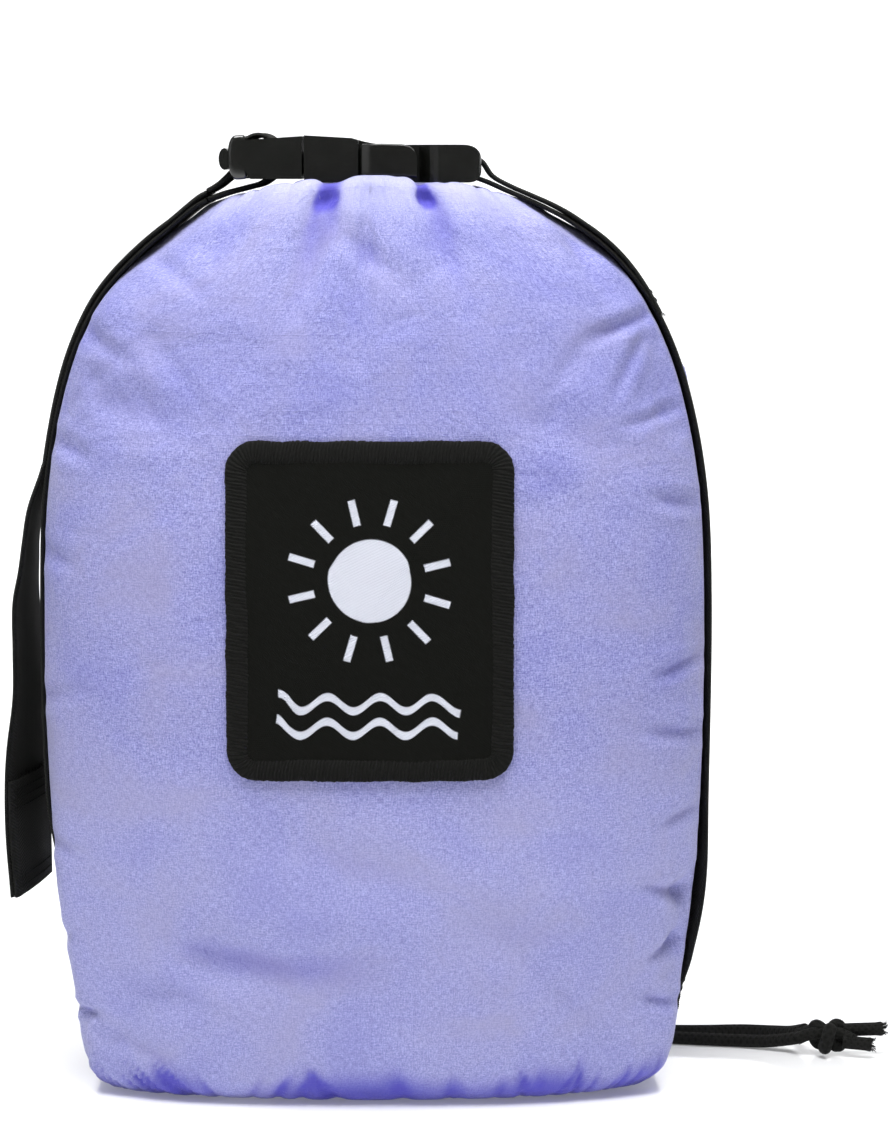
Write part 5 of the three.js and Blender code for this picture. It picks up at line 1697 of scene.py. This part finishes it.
@dataclass
class Drawstring:
    """The drawstring: hidden in the hem, through the cord lock, over the floor to a knot."""

    radius: float = 2.5 * MM
    drop: tuple = (
        (7, 43.81, 339.37), (6.9, 48.8, 341.97), (6, 57.8, 343.57), (4.3, 70.2, 340.5),
        (3.3, 76.2, 332), (3.3, 76.2, 318), (3.3, 76.2, 290), (3.3, 76.2, 255),
        (3.3, 76.2, 210), (3.3, 76.2, 160), (3.3, 76.2, 110), (3.3, 76.2, 66),
    )
    floor: dict = field(default_factory=lambda: {
        Strand.RIGHT: (
            (4.5, 75.5, 34), (9, 75, 14), (20, 73.5, 4.6), (36, 70.5, 2.6), (56, 65, 2.6),
            (76, 57, 2.6), (95, 49, 2.6), (112, 43.5, 2.6), (128, 40, 2.6), (142, 37.5, 2.6),
            (153, 34, 3.2), (161, 29.6, 5), (166.2, 26.6, 6.6),
        ),
        Strand.LEFT: (
            (-2.6, 77.5, 34), (1.5, 81, 14), (12, 84, 4.6), (29, 84.5, 2.6), (52, 79, 2.6),
            (75, 68.5, 2.6), (96, 58.5, 2.6), (115, 53.5, 2.6), (131, 53, 2.6), (145, 54, 2.6),
            (156, 50.5, 3.1), (164, 42, 5), (169, 34.5, 7.8),
        ),
    })
    lengths: dict = field(default_factory=lambda: {Strand.LEFT: 0.5485, Strand.RIGHT: 0.5271})
    knot: tuple[float, float, float] = (177.5, 25.0, 7.5)
    mouth: Mouth = field(default_factory=Mouth)
    finish: BraidedCord = field(default_factory=BraidedCord)

    def build(self) -> None:
        """Makes the strands, the knot and its two short ends."""
        braid = self.finish.material()
        ends = self._build_ends(braid)
        knot = self._build_knot(braid)
        for strand in Strand:
            self._build_strand(strand, braid)
        self._build_hidden(braid)

    def _build_strand(self, strand: Strand, braid: bpy.types.Material) -> None:
        drop = np.array(self.drop) * [strand.value, 1, 1]
        path = smooth_line(np.vstack([drop, self.floor[strand]]) * MM, 420)
        side = strand.name.lower()
        maker = Maker(f"cord_strand_{side}_braid")
        maker.tube(path, self.radius, 16)
        piece = maker.build(braid, "bag", "cord")
        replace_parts(piece, f"cord_strand_{side}")

    def _knot_place(self, points: np.ndarray) -> np.ndarray:
        """Puts points of the knot's own frame on the floor beside the bag."""
        turn = math.radians(-8)
        c, s = math.cos(turn), math.sin(turn)
        spin = np.array([[c, -s, 0.0], [s, c, 0.0], [0.0, 0.0, 1.0]])
        return (points @ spin.T + self.knot) * MM

    def _build_knot(self, braid: bpy.types.Material) -> bpy.types.Object:
        """Makes the overhand knot that joins the strands."""
        maker = Maker("cord_knot_braid")
        turn = np.linspace(0.0, 2 * math.pi, 170)
        for part in range(2):
            t = turn + part * 0.34
            x = 3.3 * np.sin(t) + 3.0 * np.sin(2 * t)
            y = 3.1 * np.cos(t) - 3.7 * np.cos(2 * t)
            z = -3.7 * np.sin(3 * t)
            line = np.stack([x * (1.0 - 0.2 * part) - 0.6, y * (0.9 - 0.1 * part), z - 0.3 * part], 1)
            maker.tube(self._knot_place(line), self.radius * (1.04 - 0.1 * part), 14, 0.1 * part)
        for aside in (-1.0, 1.0):
            line = np.array([(-12.5, 3.5 * aside + 2.0, -1.2), (-8, 2.6 * aside + 1.0, 0.8),
                             (-3, 1.6 * aside, 1.6), (3.5, -0.8 * aside, 1.2), (9.6, 2.9 * aside, -0.6)])
            maker.tube(self._knot_place(smooth_line(line, 40)), self.radius * 0.95, 14, 0.3)
        piece = maker.build(braid, "bag", "cord")
        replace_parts(piece, "cord_knot")
        return piece

    def _build_ends(self, braid: bpy.types.Material) -> list[bpy.types.Object]:
        """Makes the two short ends beyond the knot, with frayed tips."""
        pieces = []
        for name, start, way, length in (("front", (5.6, -2.4, -1.5), (0.99, -0.1, -0.04), 11.0),
                                         ("back", (5.4, 2.0, 2.2), (0.99, 0.06, 0.05), 15.5)):
            share = np.linspace(0.0, 1.0, 18)[:, None]
            path = np.array(start) + np.array(way) * length * share
            size = 2.6 * MM * (1 + 0.08 * hump(share[:, 0] - 0.93, 0.06))
            maker = Maker(f"cord_end_{name}_braid")
            maker.tube(self._knot_place(path), size, 14, 0.2)
            chance = np.random.default_rng(len(name))
            tip = path[-1]
            for _ in range(46):
                spread = chance.normal(0.0, 1.0, 2)
                spread = spread / max(1.0, float(np.linalg.norm(spread)) / 0.9)
                root = tip - np.array(way) * 0.8 + np.array([0.0, spread[0], spread[1]]) * 2.0
                lean = np.array([0.0, spread[0], spread[1]]) * chance.uniform(0.1, 0.8)
                k = np.linspace(0.0, 1.0, 5)[:, None]
                hair = root + (np.array(way) * k + lean * k**2) * chance.uniform(1.2, 2.8)
                maker.tube(self._knot_place(hair), 0.11 * MM, 5)
            piece = maker.build(braid, "bag", "cord")
            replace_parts(piece, f"cord_end_{name}")
            pieces.append(piece)
        return pieces

    def _build_hidden(self, braid: bpy.types.Material) -> None:
        """Makes the part of the drawstring that runs inside the hem."""
        turns = np.radians(np.linspace(99.5, 440.5, 300))
        maker = Maker("drawstring_in_hem_braid")
        maker.tube(self.mouth.line(turns, 0.9 * MM), 2.3 * MM, 12)
        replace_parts(maker.build(braid, "bag", "cord"), "drawstring_in_hem")


# ------------------------------------------------------------------ studio
@dataclass
class Studio:
    """A pale floor that runs up into a backdrop, soft lamps and the camera."""

    camera_at: tuple[float, float, float] = (0.0275, -1.35, 0.35)
    aim: tuple[float, float, float] = (0.0275, 0.0, 0.1925)
    lens: float = 112.6
    sky: float = 0.15

    def _floor(self) -> bpy.types.Object:
        """Makes the floor and backdrop as one curved sheet."""
        profile = [(-3.0, 0.0), (-1.5, 0.0), (0.6, 0.0), (2.0, 0.0)]
        turn = np.linspace(0.0, math.pi / 2, 24)
        profile += [(2.0 + 0.5 * math.sin(a), 0.5 - 0.5 * math.cos(a)) for a in turn[1:]]
        profile += [(2.5, 1.2), (2.5, 3.0)]
        line = np.array(profile)
        across = np.linspace(-3.0, 3.0, 25)
        grid = np.stack(np.broadcast_arrays(across[None, :], line[:, :1], line[:, 1:]), -1)
        maker = Maker("studio_floor")
        maker.grid(np.ascontiguousarray(grid), np.ascontiguousarray(grid[..., :2]))
        paint = Paint("studio white", (0.93, 0.935, 0.945))
        paint.set(**{"Roughness": 0.12, "Specular IOR Level": 0.6})
        far = paint.value("ShaderNodeSeparateXYZ", None, {0: paint.body_place()}, 1).step(0.15, 1.1)
        glow = paint.tint(far, (0.16, 0.16, 0.16), (0.66, 0.66, 0.66))
        paint.set(**{"Emission Color": glow, "Emission Strength": 1.0})
        return maker.build(paint.material, "", "")

    def _lamp(self, name: str, place: Sequence[float], size: tuple[float, float], power: float,
              aim: Sequence[float]) -> bpy.types.Object:
        """Makes one soft rectangular lamp that points at a place."""
        light = bpy.data.lights.new(name, "AREA")
        light.shape = "RECTANGLE"
        light.size, light.size_y = size
        light.energy = power
        lamp = bpy.data.objects.new(name, light)
        lamp.location = place
        lamp.rotation_euler = (Vector(aim) - Vector(place)).to_track_quat("-Z", "Y").to_euler()
        bpy.context.scene.collection.objects.link(lamp)
        return lamp

    def build(self) -> None:
        """Makes the floor, the lamps, the world and the camera."""
        pieces = [self._floor()]
        pieces.append(self._lamp("lamp_top", (0.0, -0.42, 1.4), (1.1, 0.8), 31.0, (0, 0, 0.18)))
        pieces.append(self._lamp("lamp_left", (-1.3, -0.9, 0.8), (0.8, 1.2), 2.4, (0, 0, 0.18)))
        pieces.append(self._lamp("lamp_right", (1.4, -0.7, 0.9), (0.8, 1.2), 1.0, (0, 0, 0.18)))
        world = bpy.data.worlds.new("studio sky")
        world.use_nodes = True
        tree = world.node_tree
        back = tree.nodes["Background"]
        back.inputs["Color"].default_value = (1.0, 1.0, 1.0, 1.0)
        rays = tree.nodes.new("ShaderNodeLightPath")
        level = tree.nodes.new("ShaderNodeMath")
        level.operation = "MULTIPLY_ADD"
        tree.links.new(rays.outputs["Is Camera Ray"], level.inputs[0])
        level.inputs[1].default_value = 1.0 - self.sky
        level.inputs[2].default_value = self.sky
        tree.links.new(level.outputs[0], back.inputs["Strength"])
        scene = bpy.context.scene
        scene.world = world
        scene.view_settings.view_transform = "Standard"
        camera = bpy.data.cameras.new("camera")
        camera.lens = self.lens
        camera.sensor_width = 36.0
        view = bpy.data.objects.new("camera", camera)
        view.location = self.camera_at
        view.rotation_euler = (Vector(self.aim) - Vector(self.camera_at)).to_track_quat("-Z", "Y").to_euler()
        scene.collection.objects.link(view)
        scene.camera = view


def main() -> None:
    """Builds every piece in order."""
    logging.basicConfig(level=logging.INFO, format="%(message)s")
    sack = Sack()
    seat = PatchSeat(sack.skin)
    sack.press_patch(seat)
    sack.build()
    log.info("sack built")
    LabelPatch(seat).build()
    log.info("patch built")
    Straps(sack).build()
    log.info("straps built")
    Hardware().build()
    log.info("hardware dressed")
    Drawstring().build()
    log.info("drawstring built")
    Studio().build()
    log.info("studio built")


if __name__ == "__main__":
    main()
